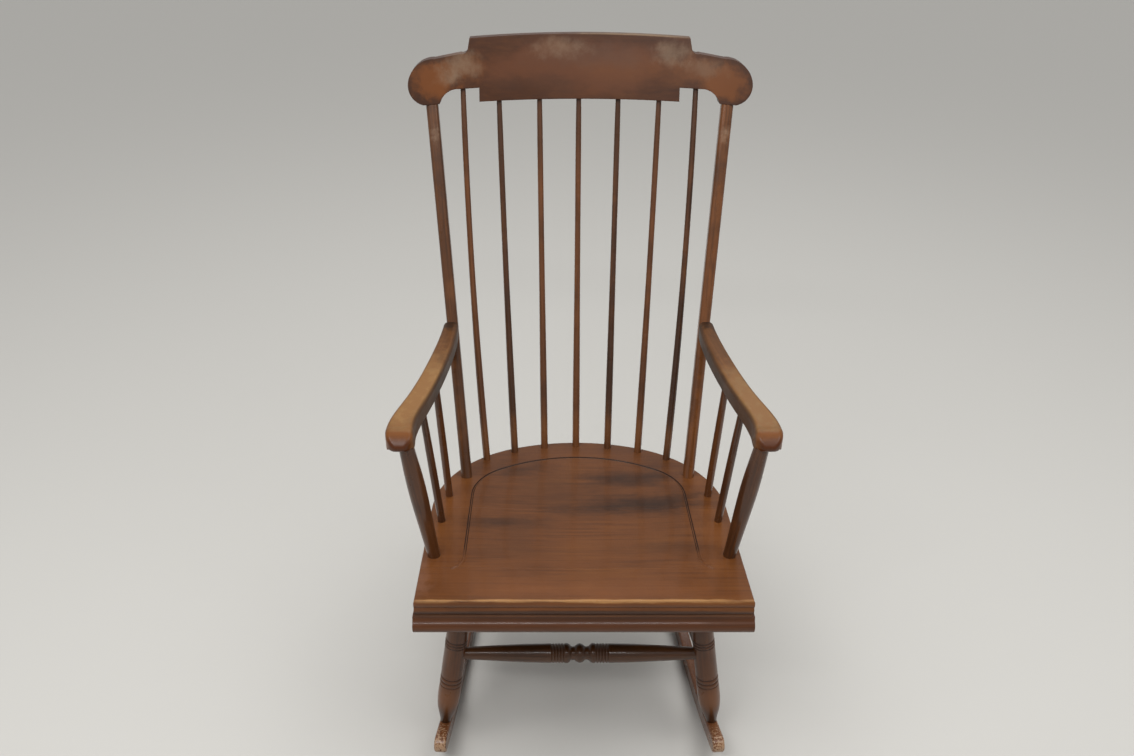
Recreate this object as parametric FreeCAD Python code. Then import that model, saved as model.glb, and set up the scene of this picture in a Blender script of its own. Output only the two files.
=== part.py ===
import FreeCAD, Part
import math
import os

# Boston rocking chair, millimetres.
# +Z is up, the chair faces -Y, and X = 0 is its plane of symmetry.
# While it is built, Y = 0 is the nosing at the seat's front and Z = 0 is the floor.
# Every piece is moved along Y at the end, so that the origin is bottom centre.

# Seat
SEAT_WIDTH = 511.0
SEAT_DEPTH = 463.0
SEAT_THICKNESS = 34.0
SEAT_FRONT_HEIGHT = 411.6
SEAT_TILT_DEG = 3.0
SEAT_BACK_RADIUS = 340.0
SEAT_CORNER_RADIUS = 210.0
SEAT_TOP_ROUNDING = 3.5
SEAT_UNDER_ROUNDING = 3.0
SEAT_AHEAD = 6.0
FRONT_SEAM = 78.0
REAR_SEAM = 243.0
SEAM_DOWEL_RADIUS = 4.0
SEAM_DOWEL_LENGTH = 44.0
SEAM_DOWEL_SPACING = 118.0

# Moulded nosing and front roll
REED_HEIGHT = 13.0
REED_BULGE = 1.8
COVE_HEIGHT = 15.5
COVE_DEPTH = 3.8
LIP_REACH = 4.0
ROLL_HEIGHT = 63.5
ROLL_BACK = 42.0
ROLL_OVERHANG = 4.0

# Saddle
DISH_DEPTH = 5.0
DISH_RADIUS = 178.0
DISH_CENTRE = 222.0
GROOVE_HALF_WIDTH = 188.0
GROOVE_APEX = 406.0
GROOVE_BACK_RADIUS = 265.0
GROOVE_CORNER_RADIUS = 95.0
GROOVE_FRONT = 106.0
GROOVE_FLARE_RADIUS = 34.0
GROOVE_FLARE_DEG = 62.0
GROOVE_TOOL_RADIUS = 2.4
GROOVE_DEPTH = 1.7

# Crest rail
CREST_CENTRE_Y = 613.0
CREST_BOTTOM_HEIGHT = 1012.0
CREST_TILT_DEG = 16.0
CREST_PLAN_RADIUS = 700.0
CREST_THICKNESS = 21.0
CREST_HEIGHT = 100.0
CREST_CROWN = 3.0
CREST_STEP_HALF = 187.0
CREST_STEP_FOOT = 84.0
CREST_SHOULDER_X = 203.0
CREST_SHOULDER = 76.5
CREST_EAR_START_X = 245.0
CREST_EAR_START = 71.0
CREST_EAR_HALF = 288.0
CREST_EAR_MIDDLE = 38.0
CREST_EAR_OUTER_X = 264.0
CREST_EAR_INNER_X = 238.0
CREST_EAR_BOTTOM = 1.0
CREST_FLAT = 22.0
CREST_FLAT_OUTER_X = 207.0
CREST_TAB_HALF = 172.0
CREST_ROUNDING = 2.5

# Back posts
POST_FOOT_X = 203.0
POST_FOOT_Y = 344.0
POST_TOP_X = 251.5
POST_TOP_SHIFT = -1.0
POST_FOOT_WIDTH = 19.0
POST_TOP_WIDTH = 20.5
POST_DEPTH = 21.0
POST_ROUNDING = 6.5
POST_FOOT_TENON_RADIUS = 7.5
POST_TOP_TENON_RADIUS = 6.0
POST_TOP_TENON_LENGTH = 26.0

# Back spindles; profiles are pairs of (share of the length, radius)
SPINDLE_FOOT_INSET = 14.0
SPINDLE_FOOT_X = [0.0, 60.8, 117.5, 169.5]
SPINDLE_TOP_X = [0.0, 68.8, 139.0, 200.0]
SPINDLE_FOOT_RADIUS = 6.6
SPINDLE_PROFILE = [(0.12, 6.7), (0.5, 5.4), (0.85, 5.1), (0.95, 4.8)]
SPINDLE_TIP_RADIUS = 4.2
SPINDLE_BOW = 5.0
SPINDLE_FOOT_TENON_RADIUS = 5.0
SPINDLE_TIP_TENON_RADIUS = 3.6
SPINDLE_TIP_TENON_LENGTH = 20.0

# Arms
ARM_FRONT_HEIGHT = 634.0
ARM_REAR_HEIGHT = 655.5
ARM_NOSE_START = 135.0
ARM_NOSE_TURN = (8.5, 7.0)
ARM_NOSE_THICKNESS = 27.5
ARM_THICKNESS = 25.0
ARM_PAD_END = 160.0
ARM_THIN_START = 262.0
ARM_OUTER_LINE = [(237.5, 470.0), (253.0, 320.0), (280.0, 208.0), (298.0, 141.0)]
ARM_NOSE_LINE = [(297.0, 121.5), (290.5, 107.0), (276.0, 99.5), (262.0, 104.0)]
ARM_INNER_LINE = [(254.8, 119.0), (255.5, 140.0), (243.0, 208.0), (220.5, 320.0), (217.5, 470.0)]
ARM_ROUNDING = 8.0

# Arm supports
ARM_POST_FOOT = [236.5, 110.0]
ARM_POST_TOP = [266.5, 119.0]
ARM_POST_FOOT_RADIUS = 10.0
ARM_POST_PROFILE = [(0.12, 10.8), (0.4, 12.8), (0.67, 13.9), (0.88, 12.6)]
ARM_POST_TIP_RADIUS = 11.0
ARM_POST_FOOT_TENON_RADIUS = 8.0
ARM_POST_TOP_TENON_RADIUS = 6.5
ARM_POST_TOP_TENON_LENGTH = 20.0
ARM_SPINDLE_FEET = [[234.0, 203.0], [228.5, 279.0]]
ARM_SPINDLE_TOPS = [[252.5, 208.0], [238.5, 277.0]]
ARM_SPINDLE_FOOT_RADIUS = 6.3
ARM_SPINDLE_PROFILE = [(0.35, 6.5)]
ARM_SPINDLE_TIP_RADIUS = 5.3
ARM_SPINDLE_TENON_RADIUS = 4.5
ARM_SPINDLE_TOP_TENON_LENGTH = 13.0

# Rockers
ROCKER_RADIUS = 950.0
ROCKER_HEIGHT = 30.0
ROCKER_WIDTH = 21.0
ROCKER_CONTACT_Y = 269.8
ROCKER_CONTACT_X = 221.0
ROCKER_TOE_DEG = 4.5
ROCKER_FRONT_REACH = 236.5
ROCKER_REAR_REACH = 476.0
ROCKER_ROUNDING = 4.0
ROCKER_PIN_RADIUS = 3.0

# Legs
FRONT_LEG_TOP = [187.0, 112.0]
REAR_LEG_TOP = [166.0, 352.0]
FRONT_LEG_FOOT_Y = 84.0
REAR_LEG_FOOT_Y = 404.0
LEG_FOOT_RADIUS = 9.0
LEG_SWELL = [(6.0, 9.8), (32.0, 16.4)]
LEG_MAX_AT = 58.0
LEG_MAX_RADIUS = 19.3
LEG_MIDDLE_RADIUS = 18.6
LEG_TOP_RADIUS = 14.5
LEG_LOWER_RINGS_AT = 90.0
LEG_LOWER_RING_PITCH = 9.0
LEG_UPPER_RINGS_AT = 176.0
LEG_UPPER_RING_PITCH = 6.0
LEG_TOP_TENON_RADIUS = 11.0
LEG_FOOT_TENON_RADIUS = 6.0

# Stretchers; arcs hold a middle and an end, as (distance from the bead's middle, radius)
FRONT_STRETCHER_HEIGHT = 200.5
REAR_STRETCHER_HEIGHT = 190.0
SIDE_STRETCHER_HEIGHT = 165.0
FRONT_STRETCHER_END_RADIUS = 9.2
FRONT_STRETCHER_BEAD_RADIUS = 16.2
FRONT_STRETCHER_ARCS = [[(4.0, 15.0), (8.0, 12.2)], [(12.0, 11.2), (17.0, 14.0)],
                        [(20.0, 16.0), (25.8, 16.2)]]
FRONT_STRETCHER_RINGS_AT = 27.5
FRONT_STRETCHER_RING_PITCH = 5.0
FRONT_STRETCHER_TAPER = [(40.0, 15.2), (80.0, 13.5)]
STRETCHER_END_RADIUS = 7.4
STRETCHER_PROFILE = [(0.22, 9.6), (0.5, 12.0), (0.78, 9.6)]
STRETCHER_TENON_RADIUS = 6.0
STRETCHER_TENON_LENGTH = 15.0

# Joints and fasteners
FOOT_TENON_LENGTH = 22.0
GLUE_GAP = 0.1
SOCKET_RELIEF = 1.0
RING_DEPTH = 1.3
RING_WIDTH = 3.4
SCREW_RADIUS = 2.2
SCREW_HEAD_RADIUS = 4.4
SCREW_HEAD_LENGTH = 3.0
SCREW_LENGTH = 48.0
PLUG_RADIUS = 5.0
PLUG_LENGTH = 5.0
NAIL_RADIUS = 1.0
NAIL_HEAD_RADIUS = 1.7
NAIL_LENGTH = 26.0
NAIL_SINK = 0.8
NAIL_LEAD_DEG = 25.0
PLUG_PROUD = 1.5
PLUG_EASE = 1.0
PIN_SHARE = 0.55

V = FreeCAD.Vector
X_AXIS = V(1, 0, 0)
Y_AXIS = V(0, 1, 0)
Z_AXIS = V(0, 0, 1)
SIDES = {"left": -1, "right": 1}
OVERLAP = 12.0
FAR = 2000.0


def tan_deg(angle):
    return math.tan(math.radians(angle))


def seat_placement():
    """Seat pieces are drawn flat, with the nosing's top edge at the origin."""
    return FreeCAD.Placement(V(0, 0, SEAT_FRONT_HEIGHT), FreeCAD.Rotation(X_AXIS, -SEAT_TILT_DEG))


def on_seat(x, y, depth=0.0):
    """Point at a plan position, on the seat's top or a depth below it."""
    drop = depth / math.cos(math.radians(SEAT_TILT_DEG))
    return V(x, y, SEAT_FRONT_HEIGHT - y * tan_deg(SEAT_TILT_DEG) - drop)


def rocker_x(y):
    """Distance of a rocker's middle from the plane of symmetry at a plan position."""
    return ROCKER_CONTACT_X - (y - ROCKER_CONTACT_Y) * tan_deg(ROCKER_TOE_DEG)


def rocker_point(y, lift):
    """Point over the right rocker's middle, a lift above its lower arc."""
    reach = (y - ROCKER_CONTACT_Y) / math.cos(math.radians(ROCKER_TOE_DEG))
    rise = ROCKER_RADIUS - math.sqrt(ROCKER_RADIUS ** 2 - reach ** 2)
    return V(rocker_x(y), y, rise + lift)


def mirrored(point, side):
    return V(point.x * side, point.y, point.z)


def direction(start, end):
    return (end - start).normalize()


def along(start, end, height):
    """Point on the line from start to end at a height."""
    share = (height - start.z) / (end.z - start.z)
    return start + (end - start) * share


def placed_from(start, end):
    """Placement that takes local +Z to the line from start to end."""
    return FreeCAD.Placement(start, FreeCAD.Rotation(Z_AXIS, direction(start, end)))


def rod(start, end, radius):
    return Part.makeCylinder(radius, (end - start).Length, start, direction(start, end))


def chain(points):
    """Edges through a list of corners; a corner with a middle point ends an arc."""
    edges = []
    last = points[0]
    for item in points[1:]:
        if isinstance(item, tuple):
            edges.append(Part.Arc(last, item[0], item[1]).toShape())
            last = item[1]
        else:
            edges.append(Part.makeLine(last, item))
            last = item
    return edges


def curve(points):
    spline = Part.BSplineCurve()
    spline.interpolate(points)
    return spline.toShape()


def prism(edges, travel):
    return Part.Face(Part.Wire(edges)).extrude(travel)


def lathe_point(distance, radius):
    return V(radius, 0, distance)


def ring_group(first, pitch, count, radius):
    """Turned grooves with a slightly rounded land between them, as chain items."""
    items = []
    for number in range(count):
        middle = first + number * pitch
        if number:
            land = lathe_point(middle - pitch / 2, radius + RING_DEPTH * 0.3)
            items.append((land, lathe_point(middle - RING_WIDTH / 2, radius)))
        items.append(lathe_point(middle, radius - RING_DEPTH))
        items.append(lathe_point(middle + RING_WIDTH / 2, radius))
    return items


def turned_line(start, end, foot, stations, tip):
    """Smooth profile from a foot radius through (share, radius) stations to a tip radius."""
    length = (end - start).Length
    points = [lathe_point(-OVERLAP, foot)]
    points += [lathe_point(length * share, radius) for share, radius in stations]
    points.append(lathe_point(length + OVERLAP, tip))
    return curve(points)


def turned(edges, start, end):
    """Solid turned about the line from start to end, from a profile beside the axis."""
    first = edges[0].Vertexes[0].Point
    last = edges[-1].Vertexes[-1].Point
    axis_foot = V(0, 0, first.z)
    axis_top = V(0, 0, last.z)
    closing = [Part.makeLine(last, axis_top), Part.makeLine(axis_top, axis_foot)]
    closing.append(Part.makeLine(axis_foot, first))
    solid = Part.Face(Part.Wire(edges + closing)).revolve(V(), Z_AXIS, 360)
    solid.Placement = placed_from(start, end)
    return solid


def bent_round(start, end, bow, stations):
    """Round bar through stations of (share of length, radius), bowed sideways."""
    span = end - start
    sections = []
    for share, radius in stations:
        centre = start + span * share + bow * (4 * share * (1 - share))
        heading = span + bow * (4 - 8 * share)
        sections.append(Part.Wire(Part.makeCircle(radius, centre, heading)))
    return Part.makeLoft(sections, True, False)


def joined(body, blanks, tenons):
    """Scribe a body to the pieces that it stands on, then add its tenons."""
    for blank in blanks:
        body = body.cut(blank)
    pieces = sorted(body.Solids, key=lambda solid: solid.Volume)
    body = pieces[-1]
    for tenon in tenons:
        body = body.fuse(tenon)
    return body.removeSplitter()


def tenon(shoulder, heading, radius, length):
    """Tenon past a shoulder, rooted in the body behind it."""
    return rod(shoulder - heading * OVERLAP, shoulder + heading * length, radius)


def socket(shoulder, heading, radius, length):
    """Hole for a tenon, with glue room round it and past its end."""
    reach = length + SOCKET_RELIEF
    return rod(shoulder - heading * OVERLAP, shoulder + heading * reach, radius + GLUE_GAP)


def single(shape):
    """The one solid in a shape, cleaned of leftover seams."""
    return shape.removeSplitter().Solids[0]


# Seat

def seat_outline():
    """Plan of the seat: straight sides, large rear corners and a bowed back edge."""
    half = SEAT_WIDTH / 2
    back_centre = SEAT_DEPTH - SEAT_BACK_RADIUS
    corner_x = half - SEAT_CORNER_RADIUS
    gap = SEAT_BACK_RADIUS - SEAT_CORNER_RADIUS
    corner_y = back_centre + math.sqrt(gap ** 2 - corner_x ** 2)
    turn = math.atan2(corner_y - back_centre, corner_x)
    join = V(SEAT_BACK_RADIUS * math.cos(turn), back_centre + SEAT_BACK_RADIUS * math.sin(turn), 0)
    middle = V(corner_x + SEAT_CORNER_RADIUS * math.cos(turn / 2),
               corner_y + SEAT_CORNER_RADIUS * math.sin(turn / 2), 0)
    right = [V(half, -SEAT_AHEAD, 0), V(half, corner_y, 0), (middle, join)]
    left = [(V(-middle.x, middle.y, 0), V(-half, corner_y, 0)), V(-half, -SEAT_AHEAD, 0)]
    back = [(V(0, SEAT_DEPTH, 0), V(-join.x, join.y, 0))]
    return chain(right + back + left + [V(half, -SEAT_AHEAD, 0)])


def nosing_profile():
    """Section of the seat's front: two reeds, a cove and the roll's rounded lip."""
    lip_top = 2 * REED_HEIGHT + COVE_HEIGHT
    lip_middle = (lip_top + ROLL_HEIGHT) / 2
    return [
        V(0, FRONT_SEAM, 0), V(0, 2, 0),
        (V(0, 0.4, -0.6), V(0, 0, -2)),
        (V(0, -REED_BULGE, -REED_HEIGHT / 2), V(0, 0.4, -REED_HEIGHT)),
        (V(0, -REED_BULGE, -1.5 * REED_HEIGHT), V(0, 1.0, -2 * REED_HEIGHT)),
        V(0, 1.8, -2 * REED_HEIGHT),
        (V(0, COVE_DEPTH, -2 * REED_HEIGHT - COVE_HEIGHT / 2), V(0, 1.0, -lip_top)),
        (V(0, -LIP_REACH, -lip_middle), V(0, 1.5, -ROLL_HEIGHT + 2)),
        (V(0, 2.4, -ROLL_HEIGHT + 0.7), V(0, 4.5, -ROLL_HEIGHT)),
        V(0, ROLL_BACK - 8, -ROLL_HEIGHT),
        V(0, ROLL_BACK, -ROLL_HEIGHT + 12), V(0, ROLL_BACK, -SEAT_THICKNESS),
        V(0, FRONT_SEAM, -SEAT_THICKNESS), V(0, FRONT_SEAM, 0)]


def nosing_blank(width):
    shift = V(-width / 2, 0, 0)
    bar = prism(chain(nosing_profile()), V(width, 0, 0))
    bar.translate(shift)
    return bar


def seat_slab():
    """Flat seat with rounded upper and lower rims, before its front is moulded."""
    slab = prism(seat_outline(), V(0, 0, -SEAT_THICKNESS))
    for height, radius in ((0, SEAT_TOP_ROUNDING), (-SEAT_THICKNESS, SEAT_UNDER_ROUNDING)):
        rim = [edge for edge in slab.Edges
               if abs(edge.CenterOfMass.z - height) < 0.01 and edge.CenterOfMass.y > 0]
        slab = slab.makeFillet(radius, rim)
    return slab


def saddle_dish():
    """Shallow ball that hollows the seat."""
    ball_radius = (DISH_RADIUS ** 2 + DISH_DEPTH ** 2) / (2 * DISH_DEPTH)
    ball = Part.makeSphere(ball_radius, V(0, DISH_CENTRE, ball_radius - DISH_DEPTH))
    window = Part.makeBox(SEAT_WIDTH, SEAT_DEPTH, 4 * DISH_DEPTH,
                          V(-SEAT_WIDTH / 2, 0, -2 * DISH_DEPTH))
    return ball.common(window)


def saddle_groove():
    """Carved line round the saddle, flared outwards at its front ends."""
    corner_x = GROOVE_HALF_WIDTH - GROOVE_CORNER_RADIUS
    back_centre = GROOVE_APEX - GROOVE_BACK_RADIUS
    gap = GROOVE_BACK_RADIUS - GROOVE_CORNER_RADIUS
    corner_y = back_centre + math.sqrt(gap ** 2 - corner_x ** 2)
    turn = math.atan2(corner_y - back_centre, corner_x)
    join = V(GROOVE_BACK_RADIUS * math.cos(turn),
             back_centre + GROOVE_BACK_RADIUS * math.sin(turn), 0)
    middle = V(corner_x + GROOVE_CORNER_RADIUS * math.cos(turn / 2),
               corner_y + GROOVE_CORNER_RADIUS * math.sin(turn / 2), 0)
    flare_x = GROOVE_HALF_WIDTH + GROOVE_FLARE_RADIUS

    def flare(angle):
        swing = math.radians(angle)
        return V(flare_x - GROOVE_FLARE_RADIUS * math.cos(swing),
                 GROOVE_FRONT - GROOVE_FLARE_RADIUS * math.sin(swing), 0)

    def other(point):
        return V(-point.x, point.y, point.z)

    side = V(GROOVE_HALF_WIDTH, GROOVE_FRONT, 0)
    rear = V(GROOVE_HALF_WIDTH, corner_y, 0)
    end = flare(GROOVE_FLARE_DEG)
    bend = flare(GROOVE_FLARE_DEG / 2)
    path = Part.Wire(chain([
        end, (bend, side), rear, (middle, join), (V(0, GROOVE_APEX, 0), other(join)),
        (other(middle), other(rear)), other(side), (other(bend), other(end))]))
    path.translate(V(0, 0, GROOVE_TOOL_RADIUS - GROOVE_DEPTH))
    start = path.Edges[0].Vertexes[0].Point
    heading = path.Edges[0].tangentAt(path.Edges[0].FirstParameter)
    section = Part.Wire(Part.makeCircle(GROOVE_TOOL_RADIUS, start, heading))
    tool = path.makePipeShell([section], True, True)
    return tool


def half_space(corner):
    """Box that fills everything beyond a corner on its +X, +Y and +Z sides."""
    return Part.makeBox(2 * FAR, 2 * FAR, 2 * FAR, corner)


def seat_boards():
    """The three boards and the front roll, drawn flat, with their dowel holes."""
    slab = seat_slab()
    behind_front = half_space(V(-FAR, FRONT_SEAM, -FAR))
    behind_rear = half_space(V(-FAR, REAR_SEAM, -FAR))
    above_joint = half_space(V(-FAR, -FAR, -SEAT_THICKNESS))
    bar = nosing_blank(SEAT_WIDTH + 2 * ROLL_OVERHANG)
    front = bar.common(above_joint).common(slab)
    boards = {"seat_front_board": front,
              "seat_middle_board": slab.common(behind_front).cut(behind_rear),
              "seat_rear_board": slab.common(behind_rear)}
    carving = [saddle_dish(), saddle_groove()]
    for x, seam in seam_dowel_places():
        carving.append(seam_dowel(x, seam, SEAM_DOWEL_RADIUS + GLUE_GAP, SOCKET_RELIEF))
    for name in boards:
        boards[name] = single(boards[name].cut(carving))
    boards["seat_front_roll"] = single(bar.cut(above_joint))
    return boards


def seam_dowel_places():
    places = []
    for seam in (FRONT_SEAM, REAR_SEAM):
        for number in range(4):
            places.append(((number - 1.5) * SEAM_DOWEL_SPACING, seam))
    return places


def seam_dowel(x, seam, radius, extra=0.0):
    """Dowel across a seam, or with extra length the hole for it."""
    reach = SEAM_DOWEL_LENGTH / 2 + extra
    middle = V(x, seam, -SEAT_THICKNESS / 2)
    return rod(middle - Y_AXIS * reach, middle + Y_AXIS * reach, radius)


def seat_pieces():
    """Seat boards, roll and seam dowels in their tilted place."""
    pieces = seat_boards()
    dowels = [seam_dowel(x, seam, SEAM_DOWEL_RADIUS) for x, seam in seam_dowel_places()]
    pieces["seat_board_dowels"] = Part.Compound(dowels)
    for shape in pieces.values():
        shape.Placement = seat_placement()
    return pieces


# Crest rail

def crest_at(x, height):
    """Point in the crest's middle surface at a height over its lower edge."""
    tilt = math.radians(CREST_TILT_DEG)
    forward = CREST_PLAN_RADIUS - math.sqrt(CREST_PLAN_RADIUS ** 2 - x ** 2)
    rise = (height - forward * math.sin(tilt)) / math.cos(tilt)
    y = CREST_CENTRE_Y - forward * math.cos(tilt) + rise * math.sin(tilt)
    return V(x, y, CREST_BOTTOM_HEIGHT + height)


def crest_elevation():
    """Half outline of the crest from its top centre to its lower centre."""
    return [
        (CREST_STEP_HALF, CREST_HEIGHT),
        (CREST_STEP_HALF + 3, CREST_STEP_FOOT),
        ((CREST_SHOULDER_X - 10, CREST_SHOULDER + 2), (CREST_SHOULDER_X, CREST_SHOULDER)),
        (CREST_EAR_START_X, CREST_EAR_START),
        ((CREST_EAR_HALF - 11.5, CREST_EAR_MIDDLE + 22.5), (CREST_EAR_HALF, CREST_EAR_MIDDLE)),
        ((CREST_EAR_HALF - 7.5, CREST_EAR_MIDDLE - 26), (CREST_EAR_OUTER_X, CREST_EAR_BOTTOM)),
        (CREST_EAR_INNER_X, CREST_EAR_BOTTOM),
        ((CREST_FLAT_OUTER_X + 21, CREST_FLAT - 6), (CREST_FLAT_OUTER_X, CREST_FLAT)),
        (CREST_TAB_HALF, CREST_FLAT),
        (CREST_TAB_HALF, 0.0)]


def crest_blank():
    """Bent board, sawn level to its outline, with its top arrises eased."""
    front = CREST_CENTRE_Y - 2 * CREST_HEIGHT

    def spot(pair, side):
        return V(pair[0] * side, front, CREST_BOTTOM_HEIGHT + pair[1])

    right = []
    for item in crest_elevation():
        if isinstance(item[0], tuple):
            right.append((spot(item[0], 1), spot(item[1], 1)))
        else:
            right.append(spot(item, 1))
    left = []
    waiting = None
    for item in reversed(crest_elevation()):
        end = item[1] if isinstance(item[0], tuple) else item
        left.append((waiting, spot(end, -1)) if waiting else spot(end, -1))
        waiting = spot(item[0], -1) if isinstance(item[0], tuple) else None
    crown = spot((0, CREST_HEIGHT + CREST_CROWN), 1)
    edges = chain(right + left + [(crown, right[0])])
    sawn = prism(edges, Y_AXIS * (4 * CREST_HEIGHT))
    tilt = math.radians(CREST_TILT_DEG)
    up = V(0, math.sin(tilt), math.cos(tilt))
    rear = V(0, math.cos(tilt), -math.sin(tilt))
    centre = V(0, CREST_CENTRE_Y, CREST_BOTTOM_HEIGHT) - rear * CREST_PLAN_RADIUS
    foot = centre - up * CREST_HEIGHT
    half = CREST_THICKNESS / 2
    outer = Part.makeCylinder(CREST_PLAN_RADIUS + half, 4 * CREST_HEIGHT, foot, up)
    inner = Part.makeCylinder(CREST_PLAN_RADIUS - half, 4 * CREST_HEIGHT, foot, up)
    board = single(sawn.common(outer).cut(inner))
    broad = sorted(board.Faces, key=lambda face: face.Area)[-2:]
    top = [edge for face in broad for edge in face.Edges
           if edge.CenterOfMass.z > CREST_BOTTOM_HEIGHT + CREST_HEIGHT]
    return board.makeFillet(CREST_ROUNDING, top)


# Posts and spindles of the back

def post_ends(side):
    foot = mirrored(on_seat(POST_FOOT_X, POST_FOOT_Y), side)
    top = crest_at(POST_TOP_X, CREST_EAR_BOTTOM) + Y_AXIS * POST_TOP_SHIFT
    return foot, mirrored(top, side)


def post_frame(side):
    """Turn of a back post: its broad face stays towards the sitter."""
    foot, top = post_ends(side)
    return FreeCAD.Rotation(X_AXIS, Y_AXIS, direction(foot, top), "ZXY")


def post_section(width, distance):
    """Rounded rectangle across the post, a distance along its local axis."""
    w = width / 2
    d = POST_DEPTH / 2
    r = POST_ROUNDING
    k = r * (1 - math.sqrt(0.5))
    corners = [V(w - r, -d, 0), (V(w - k, -d + k, 0), V(w, -d + r, 0)), V(w, d - r, 0),
               (V(w - k, d - k, 0), V(w - r, d, 0)), V(-w + r, d, 0),
               (V(-w + k, d - k, 0), V(-w, d - r, 0)), V(-w, -d + r, 0),
               (V(-w + k, -d + k, 0), V(-w + r, -d, 0)), V(w - r, -d, 0)]
    wire = Part.Wire(chain(corners))
    wire.translate(Z_AXIS * distance)
    return wire


def post_blank(side):
    foot, top = post_ends(side)
    length = (top - foot).Length
    sections = [post_section(POST_FOOT_WIDTH, -OVERLAP), post_section(POST_TOP_WIDTH, length + OVERLAP)]
    blank = Part.makeLoft(sections, True, True)
    blank.Placement = FreeCAD.Placement(foot, post_frame(side))
    return blank.cut(half_space(V(-FAR, -FAR, top.z)))


def spindle_ends(number):
    """Ends of a back spindle; numbers run from -3 at the left to 3 at the right."""
    side = -1 if number < 0 else 1
    rank = abs(number)
    ring = SEAT_BACK_RADIUS - SPINDLE_FOOT_INSET
    foot_x = SPINDLE_FOOT_X[rank]
    foot_y = SEAT_DEPTH - SEAT_BACK_RADIUS + math.sqrt(ring ** 2 - foot_x ** 2)
    last = len(SPINDLE_FOOT_X) - 1
    height = CREST_FLAT if rank == last else 0.0
    foot = on_seat(foot_x * side, foot_y)
    return foot, mirrored(crest_at(SPINDLE_TOP_X[rank], height), side)


def spindle_blank(number):
    foot, top = spindle_ends(number)
    last = len(SPINDLE_FOOT_X) - 1
    bow = X_AXIS * (SPINDLE_BOW * (number / last) ** 3)
    reach = OVERLAP / (top - foot).Length
    ends = [(-reach, SPINDLE_FOOT_RADIUS), (1 + reach, SPINDLE_TIP_RADIUS)]
    return bent_round(foot, top, bow, ends[:1] + SPINDLE_PROFILE + ends[1:])


# Arms and their supports

def arm_top(y):
    """Height of the arms' upper face at a plan position."""
    slope = (ARM_REAR_HEIGHT - ARM_FRONT_HEIGHT) / (POST_FOOT_Y - ARM_NOSE_START)
    return ARM_FRONT_HEIGHT + (y - ARM_NOSE_START) * slope


def arm_under(y):
    """Height of the arms' lower face at a plan position."""
    if y <= ARM_PAD_END:
        return ARM_FRONT_HEIGHT - ARM_NOSE_THICKNESS
    if y >= ARM_THIN_START:
        return arm_top(y) - ARM_THICKNESS
    share = (y - ARM_PAD_END) / (ARM_THIN_START - ARM_PAD_END)
    return arm_under(ARM_PAD_END) * (1 - share) + arm_under(ARM_THIN_START) * share


def arm_side():
    """Side view of an arm: level pad, turned-down nose and thinner rear."""
    rear = ARM_OUTER_LINE[0][1]
    nose_y = ARM_NOSE_LINE[2][1]
    low = arm_under(ARM_PAD_END)

    def spot(y, z):
        return V(0, y, z)

    middle = low + ARM_NOSE_THICKNESS * 0.36
    outline = [spot(rear, arm_top(rear)), spot(ARM_NOSE_START, ARM_FRONT_HEIGHT),
               (spot(nose_y + ARM_NOSE_TURN[0], ARM_FRONT_HEIGHT - ARM_NOSE_TURN[1]),
                spot(nose_y, middle)),
               (spot(nose_y + 4.5, low + 3), spot(nose_y + 15, low)),
               spot(ARM_PAD_END, low), spot(ARM_THIN_START, arm_under(ARM_THIN_START)),
               spot(rear, arm_under(rear)), spot(rear, arm_top(rear))]
    return chain(outline)


def arm_blank(side):
    """Arm before its rear end is scribed to the back post."""
    pairs = ARM_OUTER_LINE + ARM_NOSE_LINE + ARM_INNER_LINE
    rim = [V(x, y, 0) for x, y in pairs]
    plan = prism([curve(rim), Part.makeLine(rim[-1], rim[0])], Z_AXIS * FAR)
    profile = prism(arm_side(), X_AXIS * FAR)
    arm = single(plan.common(profile))
    arm = arm.makeFillet(ARM_ROUNDING, arm_rim(arm))
    if side < 0:
        arm = arm.mirror(V(), X_AXIS)
    return arm


def arm_rim(arm):
    """Edges round the arm's upper face and down round its nose."""
    top = max(arm.Faces, key=lambda face: face.Area * (face.CenterOfMass.z > ARM_FRONT_HEIGHT))
    nose = [face for face in arm.Faces
            if face.Surface.TypeId == "Part::GeomCylinder" and face.CenterOfMass.y < ARM_NOSE_START]
    rear = ARM_OUTER_LINE[0][1]
    rim = {edge.hashCode(): edge for face in [top] + nose for edge in face.Edges}
    return [edge for edge in rim.values() if edge.CenterOfMass.y < rear - 1]


def behind_post(side):
    """Everything behind a back post's front face."""
    foot, top = post_ends(side)
    box = Part.makeBox(2 * FAR, 2 * FAR, 2 * FAR, V(-FAR, -POST_DEPTH / 2, -FAR))
    box.Placement = FreeCAD.Placement(foot, post_frame(side))
    return box


def arm_post_ends(side):
    foot = mirrored(on_seat(*ARM_POST_FOOT), side)
    x, y = ARM_POST_TOP
    return foot, mirrored(V(x, y, arm_under(y)), side)


def arm_post_blank(side):
    """Turned support under the arm's nose, fullest above its middle."""
    foot, top = arm_post_ends(side)
    profile = turned_line(foot, top, ARM_POST_FOOT_RADIUS, ARM_POST_PROFILE, ARM_POST_TIP_RADIUS)
    return turned([profile], foot, top)


def arm_spindle_ends(rank, side):
    foot = mirrored(on_seat(*ARM_SPINDLE_FEET[rank]), side)
    x, y = ARM_SPINDLE_TOPS[rank]
    return foot, mirrored(V(x, y, arm_under(y)), side)


def arm_spindle_blank(rank, side):
    foot, top = arm_spindle_ends(rank, side)
    profile = turned_line(foot, top, ARM_SPINDLE_FOOT_RADIUS, ARM_SPINDLE_PROFILE,
                          ARM_SPINDLE_TIP_RADIUS)
    return turned([profile], foot, top)


# Rockers

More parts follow.
